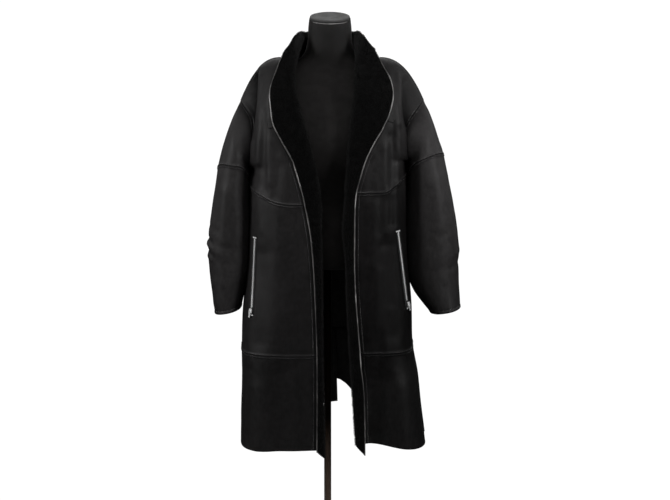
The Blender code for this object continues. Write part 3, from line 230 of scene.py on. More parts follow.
def spline(values, t):
    """Catmull-Rom through evenly spaced values, read at each t."""
    values = np.asarray(values, float)
    last = len(values) - 1
    t = np.clip(np.asarray(t, float), 0, last)
    i = np.minimum(t.astype(int), last - 1)
    f = (t - i).reshape(t.shape + (1,) * (values.ndim - 1))
    p1, p2 = values[i], values[i + 1]
    first = (i == 0).reshape(f.shape)
    final = (i + 2 > last).reshape(f.shape)
    p0 = np.where(first, 2 * p1 - p2, values[np.maximum(i - 1, 0)])
    p3 = np.where(final, 2 * p2 - p1, values[np.minimum(i + 2, last)])
    return 0.5 * (2 * p1 + (p2 - p0) * f + (2 * p0 - 5 * p1 + 4 * p2 - p3) * f * f
                  + (3 * p1 - p0 - 3 * p2 + p3) * f ** 3)


def line_x(points, z):
    table = np.array(points)
    return spline(table[:, 1], np.interp(-np.asarray(z), -table[:, 0], np.arange(len(table))))


def sections(v):
    """A reader of SECTIONS' columns at rows v."""
    values = spline(SECTIONS, v)
    return lambda name: values[:, COLUMN[name]]


def fold_offset(face, points, folds):
    """How far the folds push the points of a face inwards."""
    total = np.zeros(points.shape[:-1])
    for kind, x0, z0, x1, z1, width, depth in folds:
        if kind == face:
            total += depth * bell(segment_distance(points, x0, z0, x1, z1), width)
    return total


def quarter(start, end, turn, square, droop, fractions):
    """Rounded corners seen from above, one for each row, read at fractions of their weighted length."""
    angle_end = np.radians(turn)[:, None]
    power = (2 / square)[:, None]
    angle = angle_end * np.linspace(0, 1, 49)[None, :]
    reach = np.sin(angle_end) ** power
    depth = 1 - np.maximum(np.cos(angle_end), 0) ** power
    across = np.sin(angle) ** power / reach
    back = (1 - np.maximum(np.cos(angle), 0) ** power) / depth
    span = end - start
    points = np.stack([start[:, 0:1] + span[:, 0:1] * across, start[:, 1:2] + span[:, 1:2] * back,
                       start[:, 2:3] + span[:, 2:3] * across ** droop[:, None]], axis=-1)
    steps = np.diff(points, axis=1)
    size = np.linalg.norm(steps, axis=-1)
    cosine = np.sum(steps[:, 1:] * steps[:, :-1], axis=-1) / (size[:, 1:] * size[:, :-1])
    turned = np.concatenate([np.zeros((len(points), 1)), np.arccos(np.clip(cosine, -1, 1))], axis=1)
    weight = np.concatenate([np.zeros((len(points), 1)), np.cumsum(size + TURN_LENGTH * turned, axis=1)], axis=1)
    return np.array([read_line(row, lengths, fractions * lengths[-1]) for row, lengths in zip(points, weight)])


# ---------------------------------------------------------------- the fine net
def spaced(length, cell=CELL, start=SEAM_STEPS, end=SEAM_STEPS):
    """Positions from 0 to length, a cell apart, closer by the seams at both ends."""
    low = [0.0] + [s for s in start if s < length / 2]
    high = [length] + [length - s for s in end if s < length / 2]
    a, b = max(low), min(high)
    middle = np.linspace(a, b, max(2, int(round((b - a) / cell)) + 1))
    return np.unique(np.round(np.concatenate([low, middle, high]), 7))


def net_rows():
    """Rows of the fine net as v, and the index of each seam's row."""
    v = np.linspace(0, HEM, 1601)
    s = sections(v)
    length = run_length(np.stack([s("front_y"), (s("edge_z") + s("side_z")) / 2], axis=-1))
    rows = [np.array([0.0])]
    for v0, v1 in ((0, UNDERARM), (UNDERARM, CHEST_SEAM), (CHEST_SEAM, SKIRT_SEAM), (SKIRT_SEAM, HEM)):
        l0, l1 = np.interp((v0, v1), v, length)
        start = SEAM_STEPS if v0 != UNDERARM else ()
        end = SEAM_STEPS if v1 != UNDERARM else ()
        part = np.interp(l0 + spaced(l1 - l0, start=start, end=end), length, v)
        part[-1] = v1
        rows.append(part[1:])
    v = np.concatenate(rows)
    return v, {name: int(np.argmin(abs(v - at))) for name, at in
               (("underarm", UNDERARM), ("chest", CHEST_SEAM), ("skirt", SKIRT_SEAM), ("hem", HEM))}


V, ROW = net_rows()
FIRST_V = UNDERARM / ARMHOLE_ROWS
HIDDEN = 10                                                 # columns under the turned-back edge
EDGE_STEPS = (0.0012, 0.0024, 0.0036, 0.0050, 0.0068, 0.0080, 0.0088, 0.0096, 0.0110, 0.0130)
CUFF_STEPS = (0.0012, 0.0024, 0.0040, 0.0055, 0.0066, 0.0074, 0.0082, 0.0090, 0.0100, 0.0120)
FRONT_PART = spaced(0.22, start=EDGE_STEPS) / 0.22           # from the turned-back edge to the armhole or side
NAPE_PART = np.linspace(0, NECK_COLUMNS, 4 * NECK_COLUMNS + 1)
COLUMNS = NECK_COLUMNS + SHOULDER_COLUMNS + BODY_COLUMNS
FRONT_J = np.concatenate([np.linspace(0, SHOULDER_COLUMNS, HIDDEN + 1)[:-1],
                          SHOULDER_COLUMNS + FRONT_PART * BODY_COLUMNS])
BACK_J = np.concatenate([NAPE_PART[:-1], NECK_COLUMNS + FRONT_J])
NECK_END = len(NAPE_PART) + HIDDEN + 1                       # the back's first column clear of the collar


def hem_wave(side, x, v):
    rise = np.maximum(0.0, (v - SKIRT_SEAM) / (HEM - SKIRT_SEAM))
    table = np.array(HEM_WAVE[side])
    return rise * np.interp(abs(x), table[:, 0], table[:, 1])


def side_points(side, v, face):
    s = sections(v)
    y = np.minimum(s("armhole_front"), 0) if face == "front" else np.maximum(s("armhole_back"), 0)
    lift = s("lift") if side == "right" else 0.0
    x = s(side)
    return np.stack([x, y, s("side_z") + lift + hem_wave(side, x, v)], axis=-1)


def front_grid(side, v):
    s = sections(v)
    lift = s("lift") if side == "right" else 0.0
    fold_z, edge_z = s("fold_z") + lift, s("edge_z") + lift
    fold = np.stack([line_x(FOLD_LINE[side], fold_z), s("front_y"), fold_z], axis=-1)
    edge = np.stack([line_x(EDGE_LINE[side], edge_z), s("front_y"), edge_z], axis=-1)
    f = FRONT_J[:HIDDEN] / SHOULDER_COLUMNS
    hidden = fold[:, None] + (edge - fold)[:, None] * f[None, :, None]
    dip = SHOULDER_DIP * np.maximum(0, 1 - v / 3)
    hidden[..., 2] -= dip[:, None] * np.sin(math.pi * f)[None, :]
    corner = quarter(edge, side_points(side, v, "front"), s("turn"), s("square"), s("droop"), FRONT_PART)
    grid = np.concatenate([hidden, corner], axis=1)
    grid[:, :-1, 2] += hem_wave(side, grid[:, :-1, 0], v[:, None])
    return grid


def back_formula(side, v):
    s = sections(v)
    centre_x = BACK_CENTRE_X + (VENT_X - BACK_CENTRE_X) * np.maximum(0, (v - CHEST_SEAM) / (HEM - CHEST_SEAM))
    start = np.stack([centre_x, s("back_y"), s("back_z")], axis=-1)
    end = side_points(side, v, "back")
    return quarter(start, end, s("turn"), s("square"), s("back_droop"), BACK_J / COLUMNS)


def back_grid(side, v, shoulder):
    grid = back_formula(side, np.maximum(v, FIRST_V))
    angle = 0.5 * math.pi * NAPE_PART[:-1] / NECK_COLUMNS
    nape = np.stack([BACK_CENTRE_X + (shoulder[0, 0] - BACK_CENTRE_X) * np.sin(angle),
                     SECTIONS[0, COLUMN["back_y"]] * np.cos(angle), angle * 0 + shoulder[0, 2]], axis=-1)
    near = np.concatenate([nape, shoulder])
    first = back_formula(side, np.array([FIRST_V]))[0]
    slope = (back_formula(side, np.array([FIRST_V + 0.02]))[0] - first) / 0.02 * FIRST_V
    chord = first - near
    for r in np.nonzero(v < FIRST_V)[0]:
        t = v[r] / FIRST_V
        grid[r] = (near * (2 * t ** 3 - 3 * t * t + 1) + first * (3 * t * t - 2 * t ** 3)
                   + chord * (t ** 3 - 2 * t * t + t) + (0.5 * slope + 0.5 * chord) * (t ** 3 - t * t))
    end = side_points(side, v, "back")
    grid += (end - grid[:, -1])[:, None] * ((BACK_J / COLUMNS) ** 4)[None, :, None]
    rise = np.maximum(0, (v - SKIRT_SEAM) / (HEM - SKIRT_SEAM))[:, None]
    away = abs(grid[:, :-1, 0] - VENT_X) / VENT_RISE_REACH[side]
    grid[:, :-1, 2] += rise * VENT_RISE[side] * np.maximum(0, 1 - away ** 2)
    lap = np.minimum(1, 3 * rise) * bell(grid[..., 0] - VENT_X, VENT_LAP_REACH)
    grid[..., :2] += lap[..., None] * np.array(VENT_LAP[side])
    return grid


def sagged(grid, side):
    """A front's points, slid down its columns round the chest seam, so that the seam sags on the same surface."""
    table = np.array(CHEST_SAG[side])
    drop = np.interp(grid[ROW["chest"], :, 0] * SIDES[side], *(table * (SIDES[side], 1))[::SIDES[side]].T)
    drop[:HIDDEN] = 0
    shift = drop[None, :] / ROW_SPACING * bell(V - CHEST_SEAM, 1.5)[:, None]
    at = V[:, None] + shift * np.clip((HEM - V) / 3, 0, 1)[:, None]
    result = grid.copy()
    for c in np.nonzero(drop > 0)[0]:
        result[:, c] = read_line(grid[:, c], V, at[:, c])
    return result


def push_folds(grid, face, columns):
    """Moves a front's or back's points by the folds, but for its seams."""
    hold = np.minimum(1, (columns[-1] - columns) / 2)
    if face == "back":
        hold = hold * np.minimum(1, columns / 2)
    fade = np.minimum(1, V / FIRST_V)[:, None]
    inwards = 1 if face == "front" else -1
    grid[..., 1] += inwards * fold_offset(face, grid, FOLDS) * hold[None, :] * fade


def sleeve_grid(side, armhole, tree):
    """Rings of a sleeve, from the armhole's own points to the cuff, and the row of the seam across it."""
    half = ROW["underarm"]
    v_top = V[:half + 1]
    even = np.concatenate([math.pi * v_top / UNDERARM, 2 * math.pi - math.pi * v_top[-2:0:-1] / UNDERARM])
    centre = armhole.mean(axis=0)
    height = (armhole[0, 2] - armhole[half, 2]) / 2
    depth = (armhole[:, 1].max() - armhole[:, 1].min()) / 2
    start = np.arctan2((centre[1] - armhole[:, 1]) / depth, (armhole[:, 2] - armhole[0, 2]) / height + 1)
    start = np.mod(start, 2 * math.pi)
    start[:half] -= np.where(start[:half] > 1.5 * math.pi, 2 * math.pi, 0)
    start[half:] += np.where(start[half:] < 0.5 * math.pi, 2 * math.pi, 0)
    start[0] = 0.0
    rings = [armhole]
    for k, (outer_x, outer_z, inner_x, inner_z, middle_y, half_depth, skew) in enumerate(SLEEVES[side]):
        inner_x -= SIDES[side] * PRESS * (k in PRESSED_RINGS)
        angle = start + (even - start) * min(1.0, k / SLEEVE_SEAM)
        down = ((1 - np.cos(angle)) / 2) ** skew
        power = 2 / SLEEVE_SQUARE
        across = np.sign(np.cos(angle)) * abs(np.cos(angle)) ** power
        out = np.sign(np.sin(angle)) * abs(np.sin(angle)) ** power
        rings.append(np.stack([(outer_x + inner_x) / 2 + (outer_x - inner_x) / 2 * across,
                               middle_y - half_depth * out, outer_z + (inner_z - outer_z) * down], axis=-1))
    rings = np.array(rings)
    dense = np.linspace(0, len(rings) - 1, 901)
    outer = spline(rings[:, 0], dense)
    length = run_length(outer)
    seam_at = np.interp(SLEEVE_SEAM, dense, length)
    upper = np.interp(spaced(seam_at), length, dense)
    lower = np.interp(seam_at + spaced(length[-1] - seam_at, end=CUFF_STEPS), length, dense)
    position = np.concatenate([upper[:-1], lower])
    position[len(upper) - 1] = SLEEVE_SEAM
    bend = spline(SEAM_BEND[side], even / (math.pi / 4))
    grid = np.empty((len(position), rings.shape[1], 3))
    for r, at in enumerate(position):
        window = math.exp(-((at - SLEEVE_SEAM) / 1.1) ** 2) * min(1.0, at)
        here = at - bend * window
        for i in range(rings.shape[1]):
            grid[r, i] = spline(rings[:, i], here[i:i + 1])[0]
    middles = np.array([[(r[0] + r[2]) / 2, r[4]] for r in SLEEVES[side]])
    middle = spline(np.concatenate([[centre[:2]], middles]), position)
    out = unit(grid[..., :2] - middle[:, None])
    push = FOLD_SHARE * fold_offset("sleeve", grid, FOLDS) * np.clip(position - 0.5, 0, 1)[:, None]
    grid[..., :2] -= out * push[..., None]
    for r in range(1, len(grid)):
        gap = SLEEVE_CLEARANCE * min(1.0, position[r] / 0.6)
        grid[r] = kept_clear(tree, grid[r], gap)
    return grid, len(upper) - 1


# ---------------------------------------------------------------- surfaces
def outward(grid, closed, inside):
    """1 or -1, so that the grid's normals face out."""
    normals = raw_normals(grid, closed)
    return 1 if np.sum(normals * (grid - inside)) > 0 else -1


def raw_normals(grid, closed):
    down = np.gradient(grid, axis=0)
    if closed:
        along = np.roll(grid, -1, axis=1) - np.roll(grid, 1, axis=1)
    else:
        along = np.gradient(grid, axis=1)
    return unit(np.cross(along, down), 1e-12)


def quads(rows, columns, closed, sign):
    r, c = np.meshgrid(np.arange(rows - 1), np.arange(columns if closed else columns - 1), indexing="ij")
    n = (c + 1) % columns
    a, b, d, e = r * columns + c, r * columns + n, (r + 1) * columns + n, (r + 1) * columns + c
    faces = np.stack([a, e, d, b] if sign > 0 else [a, b, d, e], axis=-1)
    return faces.reshape(-1, 4)


def tree_of(grids):
    points, faces = [], []
    start = 0
    for grid, closed, sign in grids:
        rows, columns = grid.shape[:2]
        points.append(grid.reshape(-1, 3))
        faces.append(quads(rows, columns, closed, sign)[:, ::-1] + start)
        start += rows * columns
    return BVHTree.FromPolygons(np.concatenate(points).tolist(), np.concatenate(faces).tolist())


def kept_clear(tree, points, gap):
    """The points, each at least a gap outside the nearest face, but for those that are by its edge."""
    result = points.copy()
    for i, p in enumerate(points):
        place, normal, _, _ = tree.find_nearest(p)
        step = Vector(p) - place
        away = step.dot(normal)
        if away < gap and step.length < 0.03 and abs(away) > 0.6 * step.length:
            result[i] = Vector(p) + normal * (gap - away)
    return result


def arc(grid, axis):
    step = np.linalg.norm(np.diff(grid, axis=axis), axis=-1)
    return np.concatenate([np.zeros_like(np.take(step, [0], axis=axis)), np.cumsum(step, axis=axis)], axis=axis)


class Surface:
    """A fine grid with its normals and the distances along its rows and columns."""

    def __init__(self, grid, closed, inside):
        self.grid, self.closed = grid, closed
        self.sign = outward(grid, closed, inside)
        self.normals = raw_normals(grid, closed) * self.sign
        self.down = arc(grid, 0)
        self.along = arc(grid, 1)

    def share(self, own, other, their):
        """Makes the normals of two surfaces the same where they meet."""
        self.normals[own] = other.normals[their] = unit(self.normals[own] + other.normals[their])

    def part(self, first, last):
        """Shown rows from first to last, with their normals and the sign of their faces."""
        return self.shown[first:last + 1], self.normals[first:last + 1], self.sign


def make_surfaces():
    inside = np.array((COAT_CENTRE_X, 0.0, 1.0))
    surfaces = {}
    for side in SIDES:
        front = front_grid(side, V)
        back = back_grid(side, V, front[0])
        front = sagged(front, side)
        push_folds(front, "front", FRONT_J)
        push_folds(back, "back", BACK_J)
        surfaces["front_" + side] = Surface(front, False, inside)
        surfaces["back_" + side] = Surface(back, False, inside)
    tree = tree_of([(s.grid, s.closed, s.sign) for s in surfaces.values()])
    under = ROW["underarm"]
    for side in SIDES:
        front, back = surfaces["front_" + side], surfaces["back_" + side]
        armhole = np.concatenate([front.grid[:under + 1, -1], back.grid[under - 1:0:-1, -1]])
        grid, seam = sleeve_grid(side, armhole, tree)
        sleeve = Surface(grid, True, grid[len(grid) // 2].mean(axis=0))
        sleeve.seam = seam
        surfaces["sleeve_" + side] = sleeve
        front.share(np.s_[:, -1], back, np.s_[:, -1])
        columns = front.grid.shape[1]
        front.share(np.s_[0, :], back, np.s_[0, -columns:])
    left, right = surfaces["back_left"], surfaces["back_right"]
    left.share(np.s_[:, 0], right, np.s_[:, 0])
    return surfaces, tree


# ---------------------------------------------------------------- relief of the leather
# face x0 z0 x1 z1 width depth: smaller creases, seen from the front or back
CREASES = [
    ("front", -0.1690, 1.345, -0.1720, 1.130, 0.0070, -0.0040), ("front", -0.158, 1.260, -0.156, 1.060, 0.0085, 0.0022),
    ("front", -0.1440, 1.220, -0.1430, 1.090, 0.0085, -0.0020), ("front", -0.126, 1.170, -0.122, 1.050, 0.0100, 0.0014),
    ("front", 0.1830, 1.330, 0.1770, 1.080, 0.0070, -0.0034), ("front", 0.166, 1.230, 0.163, 0.980, 0.0070, 0.0030),
    ("front", 0.1500, 1.180, 0.1470, 0.960, 0.0090, -0.0022), ("front", 0.134, 1.160, 0.130, 0.960, 0.0095, 0.0020),
    ("front", -0.196, 1.290, -0.190, 1.150, 0.009, -0.0022), ("front", -0.176, 1.230, -0.186, 1.100, 0.008, 0.0020),
    ("front", -0.150, 1.190, -0.150, 1.080, 0.010, -0.0016), ("front", -0.120, 1.130, -0.135, 1.040, 0.009, 0.0018),
    ("front", -0.100, 1.115, -0.092, 1.060, 0.008, -0.0014), ("front", -0.172, 1.060, -0.168, 0.960, 0.011, -0.0016),
    ("front", -0.130, 1.030, -0.120, 0.930, 0.014, -0.0018), ("front", -0.085, 1.000, -0.070, 0.880, 0.014, 0.0016),
    ("front", -0.140, 0.880, -0.110, 0.760, 0.018, -0.0016), ("front", -0.060, 0.840, -0.050, 0.700, 0.016, 0.0014),
    ("front", -0.180, 0.560, -0.150, 0.450, 0.016, -0.0014), ("front", -0.075, 0.600, -0.070, 0.430, 0.018, -0.0016),
    ("front", 0.178, 1.350, 0.176, 1.230, 0.006, -0.0026), ("front", 0.166, 1.340, 0.162, 1.240, 0.007, 0.0018),
    ("front", 0.172, 1.230, 0.168, 1.060, 0.008, -0.0026), ("front", 0.156, 1.200, 0.152, 1.080, 0.008, 0.0020),
    ("front", 0.140, 1.170, 0.132, 1.060, 0.009, -0.0018), ("front", 0.112, 1.140, 0.110, 1.040, 0.010, 0.0018),
    ("front", 0.170, 1.050, 0.174, 0.960, 0.009, -0.0020), ("front", 0.150, 1.040, 0.146, 0.930, 0.010, 0.0022),
    ("front", 0.122, 1.030, 0.112, 0.880, 0.012, -0.0022), ("front", 0.094, 1.020, 0.090, 0.900, 0.012, 0.0020),
    ("front", 0.130, 0.860, 0.118, 0.700, 0.014, -0.0022), ("front", 0.100, 0.840, 0.094, 0.680, 0.013, 0.0020),
    ("front", 0.160, 0.760, 0.150, 0.650, 0.012, -0.0018), ("front", 0.132, 0.700, 0.128, 0.610, 0.010, 0.0024),
    ("front", 0.170, 0.600, 0.165, 0.480, 0.014, -0.0020), ("front", 0.112, 0.560, 0.106, 0.440, 0.010, 0.0022),
    ("back", -0.060, 1.300, -0.110, 1.130, 0.014, -0.0022), ("back", -0.120, 1.250, -0.165, 1.120, 0.012, 0.0022),
    ("back", 0.080, 1.300, 0.130, 1.130, 0.014, -0.0022), ("back", 0.140, 1.250, 0.180, 1.120, 0.012, 0.0022),
    ("back", 0.040, 1.080, 0.060, 0.900, 0.016, 0.0020), ("back", -0.050, 1.080, -0.070, 0.900, 0.016, 0.0020),
    ("back", -0.150, 0.900, -0.160, 0.720, 0.016, 0.0024), ("back", 0.160, 0.900, 0.175, 0.720, 0.016, 0.0024),
    ("back", 0.060, 0.620, 0.075, 0.460, 0.018, 0.0026), ("back", -0.060, 0.620, -0.075, 0.460, 0.018, 0.0026),
    ("back", -0.180, 0.600, -0.190, 0.440, 0.016, -0.0026), ("back", 0.200, 0.600, 0.215, 0.440, 0.016, -0.0026),
    ("sleeve", -0.240, 1.200, -0.250, 1.080, 0.014, 0.0008), ("sleeve", -0.225, 1.140, -0.232, 1.000, 0.014, -0.0010),
    ("sleeve", -0.262, 1.060, -0.262, 0.930, 0.012, -0.0020), ("sleeve", -0.242, 1.000, -0.246, 0.850, 0.010, 0.0020),
    ("sleeve", -0.316, 0.932, -0.298, 0.924, 0.0050, 0.0030), ("sleeve", -0.316, 0.917, -0.296, 0.909, 0.0045, -0.0030),
    ("sleeve", -0.316, 0.902, -0.298, 0.892, 0.0050, 0.0034), ("sleeve", -0.314, 0.884, -0.296, 0.878, 0.0050, -0.0024),
    ("sleeve", -0.298, 0.905, -0.262, 0.895, 0.010, -0.0010), ("sleeve", -0.305, 0.962, -0.280, 0.955, 0.008, 0.0012),
    ("sleeve", -0.262, 0.800, -0.250, 0.760, 0.010, 0.0016), ("sleeve", -0.290, 0.820, -0.288, 0.760, 0.010, -0.0014),
    ("sleeve", 0.262, 1.210, 0.262, 1.110, 0.014, 0.0008), ("sleeve", 0.240, 1.150, 0.236, 1.000, 0.014, -0.0010),
    ("sleeve", 0.285, 1.090, 0.292, 0.960, 0.014, -0.0020), ("sleeve", 0.258, 1.060, 0.262, 0.920, 0.011, 0.0022),
    ("sleeve", 0.350, 0.900, 0.322, 0.890, 0.007, -0.0014), ("sleeve", 0.350, 0.868, 0.320, 0.860, 0.007, 0.0014),
    ("sleeve", 0.322, 0.960, 0.285, 0.945, 0.014, 0.0010),
    ("sleeve", 0.300, 0.810, 0.302, 0.760, 0.010, 0.0016),
]
ZIPS = {"left": ((-0.1826, 0.941), (-0.1924, 0.744)), "right": ((0.1775, 0.960), (0.2040, 0.760))}
# the parts of a seam: height or depth, width
WELT, GROOVE, STITCHED = (0.0019, 0.0050), (0.0026, 0.0009), (0.0008, 0.0007)
DRAPE = 0.0120               # the cloth before and behind an armhole hangs out over its seam by this much
SLEEVE_DRAPE = 0.0030        # and the sleeve's own cloth too
# x0 z0 x1 z1 width depth: the folds from the shoulders' corners down to the armholes, sharp on the inner side
VALLEYS = {"left": (-0.1825, 1.375, -0.1895, 1.205, 0.0200, 0.0170),
           "right": (0.1960, 1.350, 0.1960, 1.225, 0.0200, 0.0080)}
VALLEY_SHARP = 0.0065
# painted shade: how much darker, from 0 to 1, the leather is painted where shade falls, in a valley's upper part on the
# front and on the sleeve's head, and on the shoulders and the fronts as ((z), (shade))
VALLEY_SHADE = {"left": (1.0, 0.95), "right": (0.35, 0.3)}
SHOULDER_SHADE = ((1.30, 1.38), (0.0, 0.35))
FRONT_SHADE = {"left": ((1.30, 1.38), (0.0, 0.25)),
               "right": ((0.55, 0.65, 1.00, 1.12, 1.30, 1.38), (0.35, 0.60, 0.60, 0.0, 0.0, 0.35))}


def seam_relief(distance):
    """Height of a lapped and twice stitched seam at a distance from it."""
    d = abs(distance)
    return (WELT[0] * bell(d, WELT[1], 6) - GROOVE[0] * bell(d, GROOVE[1])
            - STITCHED[0] * bell(d - STITCH_OFFSET, STITCHED[1]))


def ridge_relief(distance, at):
    """A topstitched ridge that runs at a distance from an edge."""
    d = distance - at
    return 0.0009 * bell(d, 0.0016) - 0.0007 * bell(d - 0.0030, 0.0010)


def zip_relief(side, grid):
    """The channel that holds a pocket's zip, with a raised welt round it."""
    away = segment_distance(grid, *ZIPS[side][0], *ZIPS[side][1])
    return -0.0008 * bell(away, 0.0058, 6) + 0.0009 * bell(away - 0.0085, 0.0024)


def uneven(points, scale, stretch, seed):
    """Smooth noise from -1 to 1 at the points."""
    flat = (points.reshape(-1, 3) * np.array(stretch) / scale) + seed * 17.3
    return np.array([noise.noise(p) for p in flat.tolist()]).reshape(points.shape[:-1])


def from_valley(side, grid):
    """How far out from its valley each point of a front is, in x."""
    x0, z0, x1, z1, _, _ = VALLEYS[side]
    return (grid[..., 0] - np.interp(grid[..., 2], (z1, z0), (x1, x0))) * SIDES[side]


def relief(name, surface):
    """Everything that the leather's surface has above or below the net."""
    grid, down = surface.grid, surface.down
    face, side = name.split("_")
    z, under = grid[..., 2], ROW["underarm"]
    height = -fold_offset(face, grid, CREASES)
    height += 0.0011 * uneven(grid, 0.075, (1.0, 1.0, 0.45), 1) + 0.00045 * uneven(grid, 0.022, (1.0, 1.0, 0.7), 2)
    if face == "sleeve":
        height *= np.minimum(1, down / 0.03)
        height += 0.15 * seam_relief(down) + seam_relief(down - down[surface.seam])
        turn = np.interp(np.arange(grid.shape[1]), [0, under // 6, under // 3, under - under // 5, under],
                         [0.0, 0.3, 1.0, 1.0, 0.0])
        height += SLEEVE_DRAPE * turn * (1 - bell(down, 0.0075)) * bell(down, 0.055)
        from_cuff = down[-1] - down
        return height + 0.0008 * bell(from_cuff, 0.0062, 6) - 0.0009 * bell(from_cuff - CUFF_STITCH, 0.0009)
    to_side = surface.along[:, -1:] - surface.along
    height *= np.clip(to_side / 0.03, 0, 1) * np.clip(down / 0.03, 0, 1)
    low_end, high_end = (2.2, 8.6) if face == "front" else (3.0, 8.4)
    window = np.clip((V - low_end) / 2.0, 0, 1) * np.clip((high_end - V) / 1.2, 0, 1)
    window = (window * window * (3 - 2 * window))[:, None]
    height += DRAPE * window * (1 - bell(to_side, 0.0065)) * bell(to_side, 0.034)
    for seam in ("chest", "skirt"):
        height += seam_relief(down - down[ROW[seam]])
    height += seam_relief(to_side) * np.clip((V - 6.5) / 2 + 0.15, 0.15, 1)[:, None]
    if face == "back":
        height += seam_relief(down) * (surface.along > surface.along[0, NECK_END])
        return height + seam_relief(surface.along) * (V > SKIRT_SEAM)[:, None]
    height += seam_relief(down)
    _, z0, _, z1, width, depth = VALLEYS[side]
    apart = from_valley(side, grid)
    ends = np.clip((z0 - z) / 0.02, 0, 1) * np.clip((z - z1 + 0.03) / 0.03, 0, 1)
    valley = depth * bell(apart, np.where(apart > 0, width, VALLEY_SHARP)) * ends
    height -= valley * np.clip(to_side / 0.012, 0, 1) * np.clip(down / 0.012, 0, 1)
    from_edge = surface.along - surface.along[:, HIDDEN:HIDDEN + 1]
    height = np.where(from_edge < 0.004, np.minimum(height, 0.0004), height)
    height += ridge_relief(from_edge, 0.0068) * np.clip((V - 6.5) / 1.5, 0, 1)[:, None] * (from_edge > 0)
    return height + zip_relief(side, grid)


def painted_shade(name, surface):
    """How much painted shade darkens a front's or sleeve's leather at each point, from 0 to 1, deep in folds above all.
    """
    grid = surface.grid
    face, side = name.split("_")
    z, under = grid[..., 2], ROW["underarm"]
    if face == "sleeve":
        turn = np.interp(np.arange(grid.shape[1]), [0, under // 5, under // 2, under - under // 8, under],
                         [0.0, VALLEY_SHADE[side][1], 1.0, 1.0, 0.0])
        return np.maximum(0.95 * turn * bell(surface.down, 0.022), np.interp(z, *SHOULDER_SHADE))
    _, z0, _, _, width, _ = VALLEYS[side]
    apart = from_valley(side, grid)
    strength = np.interp(z, (1.07, 1.11, 1.24, z0 - 0.02, z0), (0, 1, 1, VALLEY_SHADE[side][0], 0))
    valley = strength * bell(apart, np.where(apart > 0, 0.9 * width, 0.0045))
    seam = 0.9 * strength * bell(surface.along[:, -1:] - surface.along, 0.006) * (z < 1.235)
    return np.maximum.reduce([valley, seam, np.interp(z, *FRONT_SHADE[side])])


# ---------------------------------------------------------------- objects
def linked(name, mesh, material, smooth):
    mesh.materials.append(material)
    if smooth:
        mesh.shade_smooth()
    obj = bpy.data.objects.new(name, mesh)
    bpy.context.scene.collection.objects.link(obj)
    return obj


def add_object(name, points, faces, material, smooth=True):
    mesh = bpy.data.meshes.new(name)
    mesh.from_pydata(np.asarray(points).tolist(), [], [list(f) for f in faces])
    mesh.update()
    return linked(name, mesh, material, smooth)


def add_triangles(name, points, triangles, material, smooth=True):
    """A mesh of many triangles, made at once."""
    mesh = bpy.data.meshes.new(name)
    points = np.asarray(points, np.float32)
    triangles = np.asarray(triangles, np.int32)
    mesh.vertices.add(len(points))
    mesh.vertices.foreach_set("co", points.ravel())
    mesh.loops.add(triangles.size)
    mesh.loops.foreach_set("vertex_index", triangles.ravel())
    mesh.polygons.add(len(triangles))
    mesh.polygons.foreach_set("loop_start", np.arange(0, triangles.size, 3, dtype=np.int32))
    mesh.update(calc_edges=True)
    mesh.validate()
    return linked(name, mesh, material, smooth)


def outward_faces(obj, weld=False):
    """Turns a closed piece's faces out, once the points that meet are made one if asked."""
    bm = bmesh.new()
    bm.from_mesh(obj.data)
    if weld:
        bmesh.ops.remove_doubles(bm, verts=bm.verts[:], dist=0.00001)
    bmesh.ops.recalc_face_normals(bm, faces=bm.faces[:])
    bm.to_mesh(obj.data)
    bm.free()
    obj.data.shade_smooth()
    return obj


def wrapped(grid, normals, closed):
    """The skin's grid with its edges turned in by the leather's thickness."""
    for axis, end in ((0, 0), (0, -1)) if closed else ((0, 0), (0, -1), (1, 0), (1, -1)):
        n = np.take(normals, [end], axis=axis)
        edge = np.take(grid, [end], axis=axis)
        away = unit(edge - np.take(grid, [-2 if end else 1], axis=axis))
        turned = [edge - n * SKIN * 0.35 - away * 0.00010, edge - n * SKIN - away * 0.00015]
        order = 1 if end else -1
        grid = np.concatenate([grid, *turned][::order], axis=axis)
        normals = np.concatenate([normals, n, n][::order], axis=axis)
    return grid


def shell(name, outer, inner, material, closed=False, sign=1):
    """A closed piece between two grids of the same size."""
    rows, columns = outer.shape[:2]
    index = np.arange(rows * columns).reshape(rows, columns)
    face = quads(rows, columns, closed, sign)
    faces = [face, face[:, ::-1] + index.size]
    edges = ((index[0], False), (index[-1], True), (index[:, 0], True), (index[:, -1], False))
    for line, flip in edges[:2 if closed else 4]:
        a, b = (line, np.roll(line, -1)) if closed else (line[:-1], line[1:])
        rim = np.stack([a, b, b + index.size, a + index.size], axis=-1)
        faces.append(rim if (sign > 0) != flip else rim[:, ::-1])
    points = np.concatenate([outer.reshape(-1, 3), inner.reshape(-1, 3)])
    return add_object(name, points, np.concatenate(faces), material)


def lining_piece(name, grid, normals, sign, closed):
    """The fur behind a panel, as a closed shell from the skin's back to the fur's own surface."""
    rows, columns = (np.arange(0, count, 2) for count in grid.shape[:2])
    rows = np.unique(np.append(rows, len(grid) - 1))
    if not closed:
        columns = np.unique(np.append(columns, grid.shape[1] - 1))
    g, n = grid[rows][:, columns], normals[rows][:, columns]
    inset = np.full(g.shape[:2], SKIN * 1.7)
    inset[[0, -1]] = SKIN * 0.8
    if not closed:
        inset[:, [0, -1]] = SKIN * 0.8
    inner = g - n * (WALL - LINING_SHORT + FUR_ROUGHNESS * uneven(g, 0.006, (1, 1, 1), 5)[..., None])
    return shell(name, g - n * inset[..., None], inner, MATERIALS["fur"], closed, sign)


